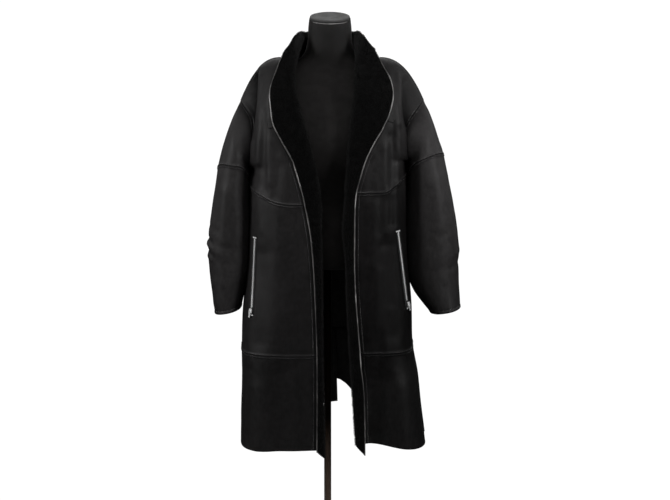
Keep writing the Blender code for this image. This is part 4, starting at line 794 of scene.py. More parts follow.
def pile_on(name, corners, normals, lean):
    """Short fur: thin blades rooted on quads (n, 4, 3) with their normals (n, 3), all leaning one way."""
    count = PILE_COUNT
    area = 0.5 * np.linalg.norm(np.cross(corners[:, 2] - corners[:, 0], corners[:, 3] - corners[:, 1]), axis=-1)
    chosen = RANDOM.choice(len(corners), size=count, p=area / area.sum())
    s, t = RANDOM.random((2, count, 1))
    quad, normal = corners[chosen], normals[chosen]
    root = (quad[:, 0] * (1 - s) * (1 - t) + quad[:, 1] * s * (1 - t) + quad[:, 2] * s * t + quad[:, 3] * (1 - s) * t)
    clump = np.array([noise.noise_vector(p) for p in (root * CLUMPS).tolist()]) * PILE_CLUMP
    way = unit(normal + np.array(lean) * PILE_LEAN + clump + RANDOM.normal(0, PILE_SPREAD, (count, 3)))
    tip = root + way * (PILE * RANDOM.uniform(0.72, 1.08, (count, 1)))
    half = unit(np.cross(way, RANDOM.normal(0, 1, (count, 3)))) * PILE_WIDTH * 0.5
    points = np.stack([root - half - normal * 0.001, root + half - normal * 0.001, tip], axis=1).reshape(-1, 3)
    return add_triangles(name, points, np.arange(count * 3).reshape(-1, 3), MATERIALS["pile"], smooth=False)


def stitches(name, lines):
    """Threads along lines of (points, normals), each a short spindle that dips into the leather at its ends."""
    points, faces, base = [], [], 0
    for line, normals in lines:
        length = run_length(line)
        count = int(length[-1] / STITCH_PITCH)
        if count < 1:
            continue
        at = (np.arange(count) + 0.5) * length[-1] / count
        first, last = (read_line(line, length, at + offset * STITCH_LENGTH) for offset in (-0.5, 0.5))
        n = unit(read_line(normals, length, at))
        across = unit(np.cross(last - first, n))
        middle = (first + last) / 2
        block = [middle + across * 0.00042 + n * 0.0001, middle + n * 0.00055, middle - across * 0.00042 + n * 0.0001,
                 middle - n * 0.0003, first - n * 0.00025, last - n * 0.00025]
        points.append(np.stack(block, axis=1).reshape(-1, 3))
        index = base + np.arange(count)[:, None] * len(block)
        for a, b in ((0, 1), (1, 2), (2, 3), (3, 0)):
            faces += [index + (a, b, 5), index + (b, a, 4)]
        base += count * len(block)
    return add_triangles(name, np.concatenate(points), np.concatenate(faces), MATERIALS["thread"])


def tube(name, line, radius, normals=(0.0, 0.0, 1.0), sides=10, cap=True):
    """A tube along a line, closed by caps unless the line is a ring."""
    way = unit(np.gradient(line, axis=0))
    across = unit(np.cross(way, normals))
    up = np.cross(across, way)
    angle = np.arange(sides) * 2 * math.pi / sides
    ring = (line[:, None] + across[:, None] * (radius * np.cos(angle))[:, None]
            + up[:, None] * (radius * np.sin(angle))[:, None])
    faces = quads(len(line), sides, True, 1).tolist()
    if cap:
        last = (len(line) - 1) * sides
        faces += [list(range(sides)), list(range(last, last + sides))[::-1]]
    return add_object(name, ring.reshape(-1, 3), faces, MATERIALS["binding"])


def lathe(name, profile, material, sides=64, centre=(0, 0, 0), tilt=0.0):
    """A turned piece from (radius, z) points, top to bottom."""
    turn = Matrix.Translation(centre) @ Matrix.Rotation(tilt, 4, "X")
    points = []
    for radius, z in profile:
        for k in range(sides):
            angle = 2 * math.pi * k / sides
            points.append(tuple(turn @ Vector((radius * math.cos(angle), radius * math.sin(angle), z))))
    obj = outward_faces(add_object(name, points, quads(len(profile), sides, True, 1), material), weld=True)
    obj.data.set_sharp_from_angle(angle=math.radians(40))
    return obj


def placed(piece, node=None):
    """Puts a piece on the coat's body, in place of a node if one is given."""
    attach(piece, BODY)
    if node:
        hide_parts(node)


# ---------------------------------------------------------------- materials
class Look:
    """A small builder of node materials around one Principled shader."""

    def __init__(self, name, roughness=0.5, metallic=0.0, specular=0.5, sheen=0.0, sheen_roughness=0.5):
        self.material = bpy.data.materials.new(name)
        self.material.use_nodes = True
        self.tree = self.material.node_tree
        self.shader = self.tree.nodes["Principled BSDF"]
        for key, value in (("Roughness", roughness), ("Metallic", metallic), ("Specular IOR Level", specular),
                           ("Sheen Weight", sheen), ("Sheen Roughness", sheen_roughness)):
            self.shader.inputs[key].default_value = value
        self.place = self.tree.nodes.new("ShaderNodeTexCoord").outputs["Object"]
        self.normal = None

    def link(self, source, target):
        self.tree.links.new(source, self.shader.inputs[target])

    def node(self, kind, inputs, **settings):
        """The outputs of a new node, whose inputs are numbers or other nodes' outputs."""
        node = self.tree.nodes.new("ShaderNode" + kind)
        for name, value in settings.items():
            setattr(node, name, value)
        for name, value in inputs.items():
            if hasattr(value, "is_linked"):
                self.tree.links.new(value, node.inputs[name])
            else:
                node.inputs[name].default_value = value
        return node.outputs

    def noise(self, scale, detail=4.0, rough=0.55, distortion=0.0, stretch=None):
        place = self.node("Mapping", {"Scale": stretch, "Vector": self.place})["Vector"] if stretch else self.place
        return self.node("TexNoise", {"Scale": scale, "Detail": detail, "Roughness": rough, "Distortion": distortion,
                                      "Vector": place})["Fac"]

    def cells(self, scale):
        return self.node("TexVoronoi", {"Scale": scale, "Vector": self.place}, feature="DISTANCE_TO_EDGE")["Distance"]

    def wave(self, scale, direction, distortion):
        return self.node("TexWave", {"Scale": scale, "Distortion": distortion, "Vector": self.place},
                         bands_direction=direction)["Fac"]

    def ramp(self, source, stops):
        node = self.tree.nodes.new("ShaderNodeValToRGB")
        ramp = node.color_ramp
        while len(ramp.elements) < len(stops):
            ramp.elements.new(0.5)
        for element, (position, colour) in zip(ramp.elements, stops):
            element.position = position
            element.color = (*colour, 1.0)
        self.tree.links.new(source, node.inputs["Fac"])
        return node.outputs["Color"]

    def span(self, source, low, high, start=0.0, end=1.0):
        return self.node("MapRange", {"From Min": start, "From Max": end, "To Min": low, "To Max": high,
                                      "Value": source})["Result"]

    def height(self, low_z, high_z, low, high):
        """A value that goes with the height over the floor."""
        return self.span(self.node("SeparateXYZ", {"Vector": self.place})["Z"], low, high, low_z, high_z)

    def scaled(self, colour, factor):
        return self.node("VectorMath", {"Vector": colour, "Scale": factor}, operation="SCALE")["Vector"]

    def maths(self, operation, a, b):
        return self.node("Math", {0: a, 1: b}, operation=operation)["Value"]

    def bump(self, height, strength, distance):
        inputs = {"Strength": strength, "Distance": distance, "Height": height}
        if self.normal is not None:
            inputs["Normal"] = self.normal
        self.normal = self.node("Bump", inputs)["Normal"]

    def finish(self, colour, roughness):
        self.link(colour, "Base Color")
        self.link(roughness, "Roughness")
        if self.normal is not None:
            self.link(self.normal, "Normal")
        return self.material


def leather_material(name, share, dark=0.0034, light=0.0075):
    """The coat's leather; its tone is a share of the fronts', above 1 for the sleeves' copy with painted light, and
    painted shade darkens it towards the hem.
    """
    look = Look(name, specular=0.085)
    broad = look.noise(9.0, 3.0, 0.5, 0.4, stretch=(1.0, 1.0, 0.4))
    fine = look.noise(85.0, 8.0, 0.75, 0.3)
    tone = look.maths("ADD", look.maths("MULTIPLY", broad, 0.50), look.maths("MULTIPLY", fine, 0.50))
    dark, light = dark * share, light * share
    colour = look.ramp(tone, [(0.38, (dark * 1.06, dark, dark)), (0.50, (light * 0.72, light * 0.67, light * 0.68)),
                              (0.62, (light * 1.10, light * 1.03, light * 1.05))])
    # painted shade from the point attribute darkens the leather's colour and its specular
    painted_darkening = look.node("Attribute", {}, attribute_name="painted_shade")["Fac"]
    # painted shade: the colour is darker towards the hem, where less light falls
    colour = look.scaled(colour, look.maths("MULTIPLY", look.height(0.62, 1.12, 0.42, 1.0),
                                            look.span(painted_darkening, 1.0, 0.22)))
    look.link(look.span(painted_darkening, 0.085, 0.012), "Specular IOR Level")
    look.bump(look.noise(38.0, 4.0, 0.55, 0.8, stretch=(1.0, 1.0, 0.45)), 0.35, 0.0026)
    look.bump(look.noise(210.0, 5.0, 0.65), 0.45, 0.0006)
    look.bump(look.cells(1150.0), 0.55, 0.00030)
    return look.finish(colour, look.span(fine, 0.44, 0.64, 0.32, 0.68))


def jersey_material():
    look = Look("form jersey", specular=0.07, sheen=0.06, sheen_roughness=0.28)
    colour = look.ramp(look.noise(32.0, 5.0, 0.6), [(0.3, (0.0022, 0.0020, 0.0019)), (0.7, (0.0042, 0.0038, 0.0036))])
    look.bump(look.wave(330.0, "X", 0.6), 0.35, 0.0004)
    look.bump(look.wave(420.0, "Z", 0.9), 0.30, 0.0003)
    look.bump(look.noise(14.0, 3.0), 0.20, 0.0030)
    neck = (1.36, 1.42)
    rough = look.maths("MULTIPLY", look.span(look.noise(60.0), 0.60, 0.80, 0.3, 0.7), look.height(*neck, 1.0, 0.72))
    colour = look.scaled(colour, look.height(*neck, 1.0, 0.75))
    look.link(look.height(*neck, 0.07, 0.08), "Specular IOR Level")
    return look.finish(colour, rough)


def wood_material():
    look = Look("dark stained wood with painted shadow", specular=0.22)
    grain = look.noise(60.0, 6.0, 0.6, 1.5, stretch=(1.0, 1.0, 0.06))
    colour = look.ramp(grain, [(0.30, (0.0075, 0.0036, 0.0018)), (0.52, (0.018, 0.0088, 0.0042)),
                               (0.72, (0.030, 0.0150, 0.0072))])
    look.bump(look.noise(160.0, 5.0, 0.6, 0.5, stretch=(1.0, 1.0, 0.04)), 0.35, 0.0006)
    # painted shadow: the pole's colour and specular fall off from 0.365 m to 0.445 m and stay low above, where the coat
    # shades it
    colour = look.scaled(colour, look.height(0.365, 0.445, 1.0, 0.10))
    look.link(look.height(0.365, 0.445, 0.22, 0.03), "Specular IOR Level")
    return look.finish(colour, look.span(grain, 0.30, 0.50, 0.3, 0.7))


def plain_material(name, tone, stops, bumps, rough, **settings):
    """One noise for the colour and one for the roughness: tone and rough start with a noise's scale and detail.

    Each bump is a texture's name, its arguments, a strength and a distance.
    """
    look = Look(name, **settings)
    colour = look.ramp(look.noise(*tone), stops)
    for texture, arguments, strength, distance in bumps:
        look.bump(getattr(look, texture)(*arguments), strength, distance)
    scale, detail, low, high = rough
    return look.finish(colour, look.span(look.noise(scale, detail), low, high, 0.3, 0.7))


def fur_material(name, base, tip):
    return plain_material(name, (130.0, 5.0, 0.65, 0.6), [(0.35, base), (0.68, tip)],
                          [("noise", (420.0, 5.0, 0.7), 0.8, 0.0016)], (70.0, 4.0, 0.70, 0.95),
                          roughness=0.85, specular=0.06, sheen=0.02, sheen_roughness=0.4)


def metal_material(name, dark, light, low, high, metallic):
    return plain_material(name, (700.0, 3.0), [(0.3, (dark,) * 3), (0.7, (light,) * 3)],
                          [("noise", (1500.0, 3.0), 0.25, 0.00012)], (500.0, 4.0, low, high), metallic=metallic)


def floor_material():
    floor = plain_material("pale floor", (2.0, 2.0), [(0.3, (0.955, 0.955, 0.955)), (0.7, (0.970, 0.970, 0.970))], [],
                           (3.0, 4.0, 0.90, 0.96), specular=0.1)
    shader = floor.node_tree.nodes["Principled BSDF"]
    shader.inputs["Emission Color"].default_value = (1.0, 1.0, 1.0, 1.0)
    shader.inputs["Emission Strength"].default_value = 0.12
    return floor


MATERIALS = {
    "leather": leather_material("coat leather", 1.0),
    # painted light: the sleeves' leather is the same leather painted 1.75 times lighter, for the light that falls on
    # them
    "sleeve_leather": leather_material("sleeve leather", 1.75),
    # painted highlights: the binding's light patches, on the collars' edges and the neck cap's piping; its gloss is
    # real
    "binding": plain_material(
        "leather binding with painted highlights", (14.0, 5.0, 0.6),
        [(0.36, (0.010, 0.010, 0.010)), (0.50, (0.045, 0.043, 0.042)), (0.64, (0.170, 0.166, 0.163))],
        [("cells", (1400.0,), 0.45, 0.00025), ("noise", (180.0, 3.0), 0.35, 0.0006)], (90.0, 4.0, 0.30, 0.48)),
    "fur": fur_material("lining fur", (0.0010, 0.0010, 0.0010), (0.0032, 0.0031, 0.0031)),
    "collar_fur": fur_material("collar fur", (0.0006, 0.0006, 0.0006), (0.0018, 0.0017, 0.0017)),
    "pile": plain_material(
        "fur pile", (160.0, 3.0), [(0.3, (0.0009, 0.0009, 0.0009)), (0.7, (0.0030, 0.0029, 0.0029))], [],
        (300.0, 4.0, 0.50, 0.75), specular=0.10),
    "jersey": jersey_material(),
    "cap": plain_material(
        "neck cap fabric", (45.0, 5.0), [(0.3, (0.019, 0.0188, 0.0186)), (0.7, (0.027, 0.0266, 0.0264))],
        [("wave", (260.0, "X", 0.5), 0.30, 0.0004), ("wave", (260.0, "Y", 0.5), 0.30, 0.0004)],
        (50.0, 4.0, 0.6, 0.8), specular=0.15),
    "wood": wood_material(),
    "foot": plain_material(
        "painted steel", (20.0, 6.0, 0.65), [(0.3, (0.0105, 0.0100, 0.0098)), (0.7, (0.0185, 0.0178, 0.0172))],
        [("noise", (900.0, 3.0), 0.35, 0.0003)], (35.0, 5.0, 0.28, 0.46)),
    "metal": metal_material("bright metal", 0.74, 0.88, 0.22, 0.34, 0.72),
    "teeth": metal_material("zip teeth", 0.70, 0.88, 0.28, 0.42, 0.55),
    "tape": plain_material(
        "zip tape", (300.0, 3.0), [(0.3, (0.0055, 0.0055, 0.0058)), (0.7, (0.0110, 0.0110, 0.0115))],
        [("wave", (900.0, "Z", 0.4), 0.5, 0.0003), ("wave", (1100.0, "X", 0.4), 0.4, 0.0002)],
        (200.0, 4.0, 0.7, 0.9), specular=0.2),
    # painted highlights: the thread's light patches stand in for the seams' highlights
    "thread": plain_material(
        "thread", (16.0, 4.0, 0.6),
        [(0.34, (0.012, 0.012, 0.012)), (0.50, (0.060, 0.059, 0.060)), (0.66, (0.240, 0.236, 0.236))], [],
        (700.0, 4.0, 0.35, 0.55), specular=0.45),
}


# ---------------------------------------------------------------- the coat
def longest(grid, axis):
    """The longest run over a grid along an axis."""
    return float(np.linalg.norm(np.diff(grid, axis=axis), axis=-1).sum(axis=axis).max())


def declare_cut(piece, width, length):
    """Works out a panel's leather length from its area filling at least 0.32 of its sheet, and keeps nothing."""
    area = sum(p.area for p in piece.data.polygons)
    length = min(length, area / (0.32 * width))


def build_panel(node, names, surfaces, rows):
    """A panel's leather and fur from rows of one surface, or of two that are joined along their first columns."""
    closed = surfaces[names[0]].closed
    grid, normals, sign = surfaces[names[-1]].part(*rows)
    if len(names) == 2:
        other, other_normals, _ = surfaces[names[0]].part(*rows)
        grid = np.concatenate([other[:, ::-1], grid[:, 1:]], axis=1)
        normals = np.concatenate([other_normals[:, ::-1], normals[:, 1:]], axis=1)
    leather = MATERIALS["sleeve_leather" if closed else "leather"]
    skin = wrapped(grid, normals, closed)
    skin = add_object(node + "_leather", skin.reshape(-1, 3), quads(*skin.shape[:2], closed, sign), leather)
    # painted shade, kept on the fronts' and sleeves' leather as a point attribute
    if not node.startswith("back"):
        shade = painted_shade(names[0], surfaces[names[0]])[rows[0]:rows[1] + 1]
        shade = np.pad(shade, ((2, 2), (0, 0) if closed else (2, 2)), mode="edge")
        skin.data.attributes.new("painted_shade", "FLOAT", "POINT").data.foreach_set("value", shade.ravel())
    lining = lining_piece(node + "_fur", grid, normals, sign, closed)
    placed(skin, node)
    placed(lining, node)
    width = longest(np.concatenate([grid, grid[:, :1]], axis=1) if closed else grid, 1)
    declare_cut(skin, width, longest(grid, 0))


def make_panels(surfaces):
    bands = {"upper": (0, ROW["chest"]), "middle": (ROW["chest"], ROW["skirt"]), "lower": (ROW["skirt"], ROW["hem"])}
    for side in SIDES:
        for band, rows in bands.items():
            build_panel(f"front_{band}_{side}", ["front_" + side], surfaces, rows)
        build_panel("back_lower_" + side, ["back_" + side], surfaces, bands["lower"])
        sleeve = surfaces["sleeve_" + side]
        build_panel("sleeve_upper_" + side, ["sleeve_" + side], surfaces, (0, sleeve.seam))
        build_panel("sleeve_lower_" + side, ["sleeve_" + side], surfaces, (sleeve.seam, len(sleeve.grid) - 1))
    for band in ("upper", "middle"):
        build_panel("back_" + band, ["back_left", "back_right"], surfaces, bands[band])


# ---------------------------------------------------------------- collars
# station (16 is the shoulder), part of the way down that the collar's free edge stays short of its solid's
COLLAR_SHORT = ((0, 8, 12, 16, 20, 24, 28), (0.02, 0.14, 0.22, 0.25, 0.20, 0.10, 0.0))
FOLD_STEPS = 8
ROLL = 0.0040                # the fur is this much fuller where the collar rolls over, at the neck's sides
HUG = 0.020                  # and comes up to this much nearer to the form


def fine_nape_path(start, normal, edge, tree, gap):
    middle = start.lerp(edge, 0.5) + normal * 0.010 + Vector((0, 0, 0.008))
    path = [start]
    for c in range(1, HIDDEN + 1):
        f = c / HIDDEN
        point = start.lerp(middle, f).lerp(middle.lerp(edge, f), f)
        lift = gap + NAPE_LIFT * min(1.0, f * 4)
        place, out, _, _ = tree.find_nearest(point)
        away = (point - place).dot(out)
        path.append(point + out * (lift - away) if away < lift else point)
    return path


def collar_sections(side, surfaces, tree):
    """Rows of the fold's point, its normal, the way out of the fold and the path to the free edge, nape first."""
    gap = 2 * FOLD_RADIUS
    front, back = surfaces["front_" + side], surfaces["back_" + side]
    step = (len(NAPE_PART) - 1) // NECK_COLUMNS
    shoulder_edge = front.grid[0, HIDDEN]
    reach_x = shoulder_edge[0] - BACK_CENTRE_X
    stations = []
    for k in range(NECK_COLUMNS):
        turned = math.pi / 2 * k / NECK_COLUMNS
        at = k * step
        fold = Vector(back.grid[0, at])
        along = Vector(back.grid[0, at + step] - back.grid[0, at - step]) if k else Vector((1, 0, 0))
        along.normalize()
        normal = Vector(back.normals[0, at])
        normal = (normal - along * normal.dot(along)).normalized()
        down = along.cross(normal)
        if down.dot((fold - Vector((BACK_CENTRE_X, 0, fold.z))).normalized() - Vector((0, 0, 1))) < 0:
            down.negate()
        edge = Vector((BACK_CENTRE_X + reach_x * math.sin(turned), COLLAR_REACH * math.cos(turned),
                       shoulder_edge[2] + gap - COLLAR_EDGE_DROP * math.cos(turned) ** 1.5))
        stations.append((fold, normal, -down, *fine_nape_path(fold + normal * gap, normal, edge, tree, gap)))
    for r in range(len(front.grid)):
        fold = Vector(front.grid[r, 0])
        away = Vector(front.grid[r, 2] - front.grid[r, 0]).normalized()
        normal = Vector(front.normals[r, 0])
        normal = (normal - away * normal.dot(away)).normalized()
        lifted = gap + COLLAR_LIFT * max(0.0, 1 - V[r] / 3)
        path = [Vector(front.grid[r, c] + front.normals[r, c] * lifted) for c in range(1, HIDDEN + 1)]
        stations.append((fold, normal, -away, fold + normal * gap, *path))
    data = np.array([[list(p) for p in station] for station in stations])
    mirror = data[1].copy()
    mirror[..., 0] *= -1
    mirror[0, 0] += 2 * BACK_CENTRE_X
    mirror[3:, 0] += 2 * BACK_CENTRE_X
    next_row = int(np.argmax(V >= FIRST_V))
    knots = np.concatenate([[mirror], data[:NECK_COLUMNS + 1], [data[NECK_COLUMNS + next_row]]])
    nape = spline(knots, 1 + NAPE_PART[:-1])
    nape[:, 1:3] = unit(nape[:, 1:3])
    data = np.concatenate([nape, data[NECK_COLUMNS:]])
    station = np.concatenate([np.arange(len(nape)), len(nape) + V * 4.0])
    for r, share in enumerate(np.interp(station, *COLLAR_SHORT)):
        data[r, 3:] = spline(data[r, 3:], np.linspace(0, HIDDEN, HIDDEN + 1) * (1 - share))
    return data


def collar_surfaces(side, surfaces, tree):
    """Leather side and full fur side of a collar, as arrays of rows."""
    stations = collar_sections(side, surfaces, tree)
    paths = stations[:, 3:]
    out = unit(np.cross(np.gradient(paths, axis=0), np.gradient(paths, axis=1)))
    thin = np.interp(np.linspace(0, 1, HIDDEN + 1), [0, 0.25, 0.5, 0.75, 0.93, 1.0], [1, 1, 1, 0.96, 0.85, 0.6])
    nape_count = len(stations) - len(V)
    # 0 at the nape, 1 at the shoulder, more down the front
    around = np.concatenate([np.linspace(0, 1, nape_count + 1)[:-1], 1 + V / 3.2])
    roll = ROLL * np.interp(around, [0, 0.45, 0.8, 1.0, 1.3, 2.0], [0.5, 0.75, 1.0, 1.0, 0.75, 0.0])
    leather, fur = [], []
    for r, station in enumerate(stations):
        fold, normal, fold_way, *path = (Vector(p) for p in station)
        centre = fold + normal * FOLD_RADIUS
        leather_row, fur_row = [], []
        for k in range(FOLD_STEPS):
            angle = math.pi * k / FOLD_STEPS
            spoke = fold_way * math.sin(angle) - normal * math.cos(angle)
            leather_row.append(centre + spoke * FOLD_RADIUS)
            fur_row.append(centre + spoke * (FOLD_RADIUS + WALL + roll[r] * math.sin(angle * 0.5 + 0.6)))
        for c, point in enumerate(path):
            n = Vector(out[r, c])
            if n.dot(normal) < 0:
                n.negate()
            n = normal.lerp(n, min(1.0, c / 3)).normalized()
            if r == 0:
                n.x = 0
                n.normalize()
            leather_row.append(point)
            fur_row.append(point + n * (WALL * thin[c] + roll[r] * max(0.0, 1 - c / (HIDDEN * 0.8))))
        leather.append([list(p) for p in leather_row])
        fur.append([list(p) for p in fur_row])
    leather, fur = np.array(leather), np.array(fur)
    column = np.arange(leather.shape[1])
    hug = np.interp(around, [0, 0.5, 1.0, 1.5, 1.8, 2.1], [0.5, 1.0, 1.0, 0.9, 0.45, 0.0])
    form = np.array(FORM_RINGS)
    half_width, front, back = (np.interp(fur[..., 2], form[:, 0], form[:, k]) for k in (1, 2, 3))
    flat = fur[..., :2] - np.array((FORM_CENTRE_X, 0.0))
    depth = np.where(flat[..., 1] < 0, -front, back)
    reach = np.sqrt((flat[..., 0] / (half_width + 0.001)) ** 2 + (flat[..., 1] / (depth + 0.001)) ** 2)
    free = ((1 - 1 / reach) * np.linalg.norm(flat, axis=-1))[:, :FOLD_STEPS + 1].min(axis=1)
    shift = unit(-flat[:, FOLD_STEPS // 2]) * (np.clip(free, 0, HUG) * hug)[:, None]
    weight = np.interp(column, [0, 2, 4, 6, 8, 10, 12], [0.5, 0.9, 1.0, 0.85, 0.45, 0.12, 0.0])
    fur[..., :2] += shift[:, None] * weight[None, :, None]
    f = np.maximum(0, column - FOLD_STEPS / 2) / (column[-1] - FOLD_STEPS / 2)
    drop = (FOLD_TAIL[side] + (EDGE_TAIL[side] - FOLD_TAIL[side]) * f) * np.minimum(1, column / 4)
    lower_row = SKIRT_SEAM + (HEM - SKIRT_SEAM) * 0.8
    tail = np.clip((V - lower_row) / (HEM - lower_row), 0, 1)
    for grid in (leather, fur):
        grid[nape_count:, :, 2] -= tail[:, None] * drop[None, :]
    return leather, fur


def make_collars(surfaces, tree):
    for side in SIDES:
        node = "collar_" + side
        leather, fur = collar_surfaces(side, surfaces, tree)
        thickness = fur - leather
        way = unit(thickness)
        base = leather + thickness * 0.45
        base = base + way * (FUR_ROUGHNESS * uneven(base, 0.012, (1, 1, 1), 9)[..., None])
        inside = outward_faces(shell(node + "_fur", leather + thickness * 0.16, base, MATERIALS["collar_fur"]))
        skin = add_object(node + "_leather", leather.reshape(-1, 3), quads(*leather.shape[:2], False, SIDES[side]),
                          MATERIALS["leather"])
        corners = np.stack([base[:-1, :-1], base[:-1, 1:], base[1:, 1:], base[1:, :-1]], axis=2).reshape(-1, 4, 3)
        pile = pile_on(node + "_pile", corners, way[:-1, :-1].reshape(-1, 3), (0.0, -0.1, -1.0))
        edge = (leather[:, -1] + fur[:, -1]) / 2
        length = run_length(edge)
        at = np.linspace(0, length[-1], int(length[-1] / BINDING_STEP))
        binding = tube(node + "_binding", read_line(edge, length, at), BINDING_RADIUS,
                       unit(read_line(way[:, -1], length, at)))
        for piece, slot in ((inside, "fur"), (skin, "leather"), (pile, "fur"), (binding, "leather")):
            placed(piece, node)
        declare_cut(skin, longest(leather, 1), longest(leather, 0))


# ---------------------------------------------------------------- zips, tabs
ZIP_WIDTH = 0.009
TAPE_LIFT, TAPE_THICKNESS = 0.0002, 0.0009
TOOTH_PITCH = 0.00135
TOOTH_HALF = (0.0019, 0.00046, 0.0006)                  # across the tape, along it and out from it
TABS = {"left": (-0.1360, 1.228, 12), "right": (0.1560, 1.243, -20)}      # x, z and turn in degrees
TAB_SIZE = (0.024, 0.013, 0.0012)
TAB_LIFT = 0.0010


def front_hit(tree, x, z):
    place, normal, _, _ = tree.ray_cast(Vector((x, -1.0, z)), Vector((0, 1, 0)))
    return place, (-normal if normal.y > 0 else normal)


def strip_on(name, tree, line, width, lift, thickness, material, steps=6):
    """A thin closed strip that lies on the front along a line of (x, z) points."""
    lower, upper = [], []
    for i, (x, z) in enumerate(line):
        before, after = line[max(i - 1, 0)], line[min(i + 1, len(line) - 1)]
        run = Vector((after[0] - before[0], 0, after[1] - before[1])).normalized()
        across = Vector((run.z, 0, -run.x))
        offsets = [(k / steps - 0.5) * width for k in range(steps + 1)]
        hits = [front_hit(tree, x + across.x * offset, z + across.z * offset) for offset in offsets]
        lower.append([list(place + normal * lift) for place, normal in hits])
        upper.append([list(place + normal * (lift + thickness)) for place, normal in hits])
    return outward_faces(shell(name, np.array(lower), np.array(upper), material))


def make_zips(tree):
    for side, ((x0, z0), (x1, z1)) in ZIPS.items():
        top, bottom = Vector((x0, 0, z0)), Vector((x1, 0, z1))
        run = (bottom - top).normalized()
        name = "zip_" + side
        line = [((top + run * 0.003).lerp(bottom - run * 0.003, k / 40)).xz for k in range(41)]
        tape = strip_on(name + "_tape", tree, line, ZIP_WIDTH, TAPE_LIFT, TAPE_THICKNESS, MATERIALS["tape"])
        placed(tape, name)
        placed(make_teeth(name + "_teeth", tree, top + run * 0.003, bottom - run * 0.018, run), name)


def make_teeth(name, tree, start, end, run):
    """Interlocking metal teeth down the middle of the tape."""
    across = Vector((run.z, 0, -run.x))
    points, faces = [], []
    box = [(-1, -1, -1), (1, -1, -1), (1, 1, -1), (-1, 1, -1), (-1, -1, 1), (1, -1, 1), (1, 1, 1), (-1, 1, 1)]
    sides = [(0, 3, 2, 1), (4, 5, 6, 7), (0, 1, 5, 4), (1, 2, 6, 5), (2, 3, 7, 6), (3, 0, 4, 7)]
    for k in range(int((end - start).length / TOOTH_PITCH)):
        p = start + run * (k * TOOTH_PITCH)
        shift = 0.0006 * (1 if k % 2 else -1)
        place, n = front_hit(tree, p.x + across.x * shift, p.z + across.z * shift)
        side = (across - n * across.dot(n)).normalized()
        up = n.cross(side)
        faces.extend([tuple(len(points) + i for i in face) for face in sides])
        for bx, by, bz in box:
            taper = 0.8 if bz > 0 else 1.0
            points.append(tuple(place + side * (TOOTH_HALF[0] * bx * taper) + up * (TOOTH_HALF[1] * by * taper)
                                + n * (0.0015 + TOOTH_HALF[2] * bz)))
    obj = outward_faces(add_object(name, points, faces, MATERIALS["teeth"], smooth=False))
    obj.data.shade_flat()
    return obj


def make_tabs(tree):
    length, width, thickness = TAB_SIZE
    for side, (x, z, turn) in TABS.items():
        turn = math.radians(turn)
        way_x, way_z = math.cos(turn) * SIDES[side], math.sin(turn) * SIDES[side]
        line = [(x + way_x * length * (k / 10 - 0.5), z + way_z * length * (k / 10 - 0.5)) for k in range(11)]
        tab = strip_on("tab_" + side + "_leather", tree, line, width, TAB_LIFT, thickness, MATERIALS["leather"], 8)
        placed(tab, "tab_" + side)


# ---------------------------------------------------------------- dress form and stand
# z half_width front back square
FORM_RINGS = [
    (0.8580, 0.150, -0.098, 0.104, 2.3), (0.8640, 0.158, -0.104, 0.110, 2.3), (0.9100, 0.160, -0.104, 0.112, 2.3),
    (0.9600, 0.148, -0.096, 0.102, 2.2), (1.0200, 0.130, -0.088, 0.086, 2.2), (1.0800, 0.134, -0.098, 0.088, 2.2),
    (1.1300, 0.144, -0.112, 0.096, 2.2), (1.1800, 0.152, -0.116, 0.104, 2.3), (1.2300, 0.160, -0.106, 0.108, 2.4),
    (1.2700, 0.170, -0.092, 0.106, 2.4), (1.3000, 0.176, -0.080, 0.100, 2.5), (1.3250, 0.175, -0.068, 0.088, 2.5),
    (1.3450, 0.165, -0.056, 0.072, 2.3), (1.3600, 0.142, -0.050, 0.064, 2.2), (1.3740, 0.108, -0.048, 0.060, 2.1),
    (1.3880, 0.078, -0.049, 0.057, 2.0), (1.4050, 0.064, -0.051, 0.055, 2.0), (1.4300, 0.0570, -0.052, 0.054, 2.0),
    (1.4640, 0.0550, -0.052, 0.052, 2.0), (1.4880, 0.0525, -0.050, 0.050, 2.0)]
FORM_SIDES = 96
FORM_CLEARANCE = 0.0012      # the form stays this far inside the coat's fur
COAT_TOP, TILT_START = 1.38, 1.43        # the form is free of the coat above the first, and tilts above the second
CAP_TILT = math.radians(12)
CAP_RADIUS = 0.0508
CAP_HEIGHT = 0.006
CAP_PLACE = (FORM_CENTRE_X, 0, FORM_RINGS[-1][0] + 0.0004)
PIPING_RADIUS = 0.0011
AXIS = 0.00001               # a profile that ends this near to the axis closes there


def make_form(tree):
    table = np.array(FORM_RINGS)
    rings = spline(table, np.concatenate([np.linspace(0, 1, 4)[:-1], np.linspace(1, len(table) - 1, 90)]))
    points = []
    for z, half_width, front, back, square in rings:
        tilt = math.tan(CAP_TILT) * max(0.0, (z - TILT_START) / (table[-1, 0] - TILT_START))
        for c in range(FORM_SIDES):
            angle = 2 * math.pi * c / FORM_SIDES
            cos, sin = math.cos(angle), math.sin(angle)
            x = half_width * math.copysign(abs(cos) ** (2 / square), cos)
            y = (-front if sin < 0 else back) * math.copysign(abs(sin) ** (2 / square), sin)
            p = Vector((FORM_CENTRE_X + x, y, z + y * tilt))
            if z < COAT_TOP:
                place, normal, _, _ = tree.find_nearest(p)
                p = p - normal * max(0.0, WALL + FORM_CLEARANCE - (place - p).dot(normal))
            points.append(tuple(p))
    last = (len(rings) - 1) * FORM_SIDES
    faces = quads(len(rings), FORM_SIDES, True, -1).tolist()
    faces += [list(range(FORM_SIDES)), list(range(last, last + FORM_SIDES))]
    form = outward_faces(add_object("form_torso_jersey", points, faces, MATERIALS["jersey"]))
    form.data.set_sharp_from_angle(angle=math.radians(50))
    placed(form, "form_torso")


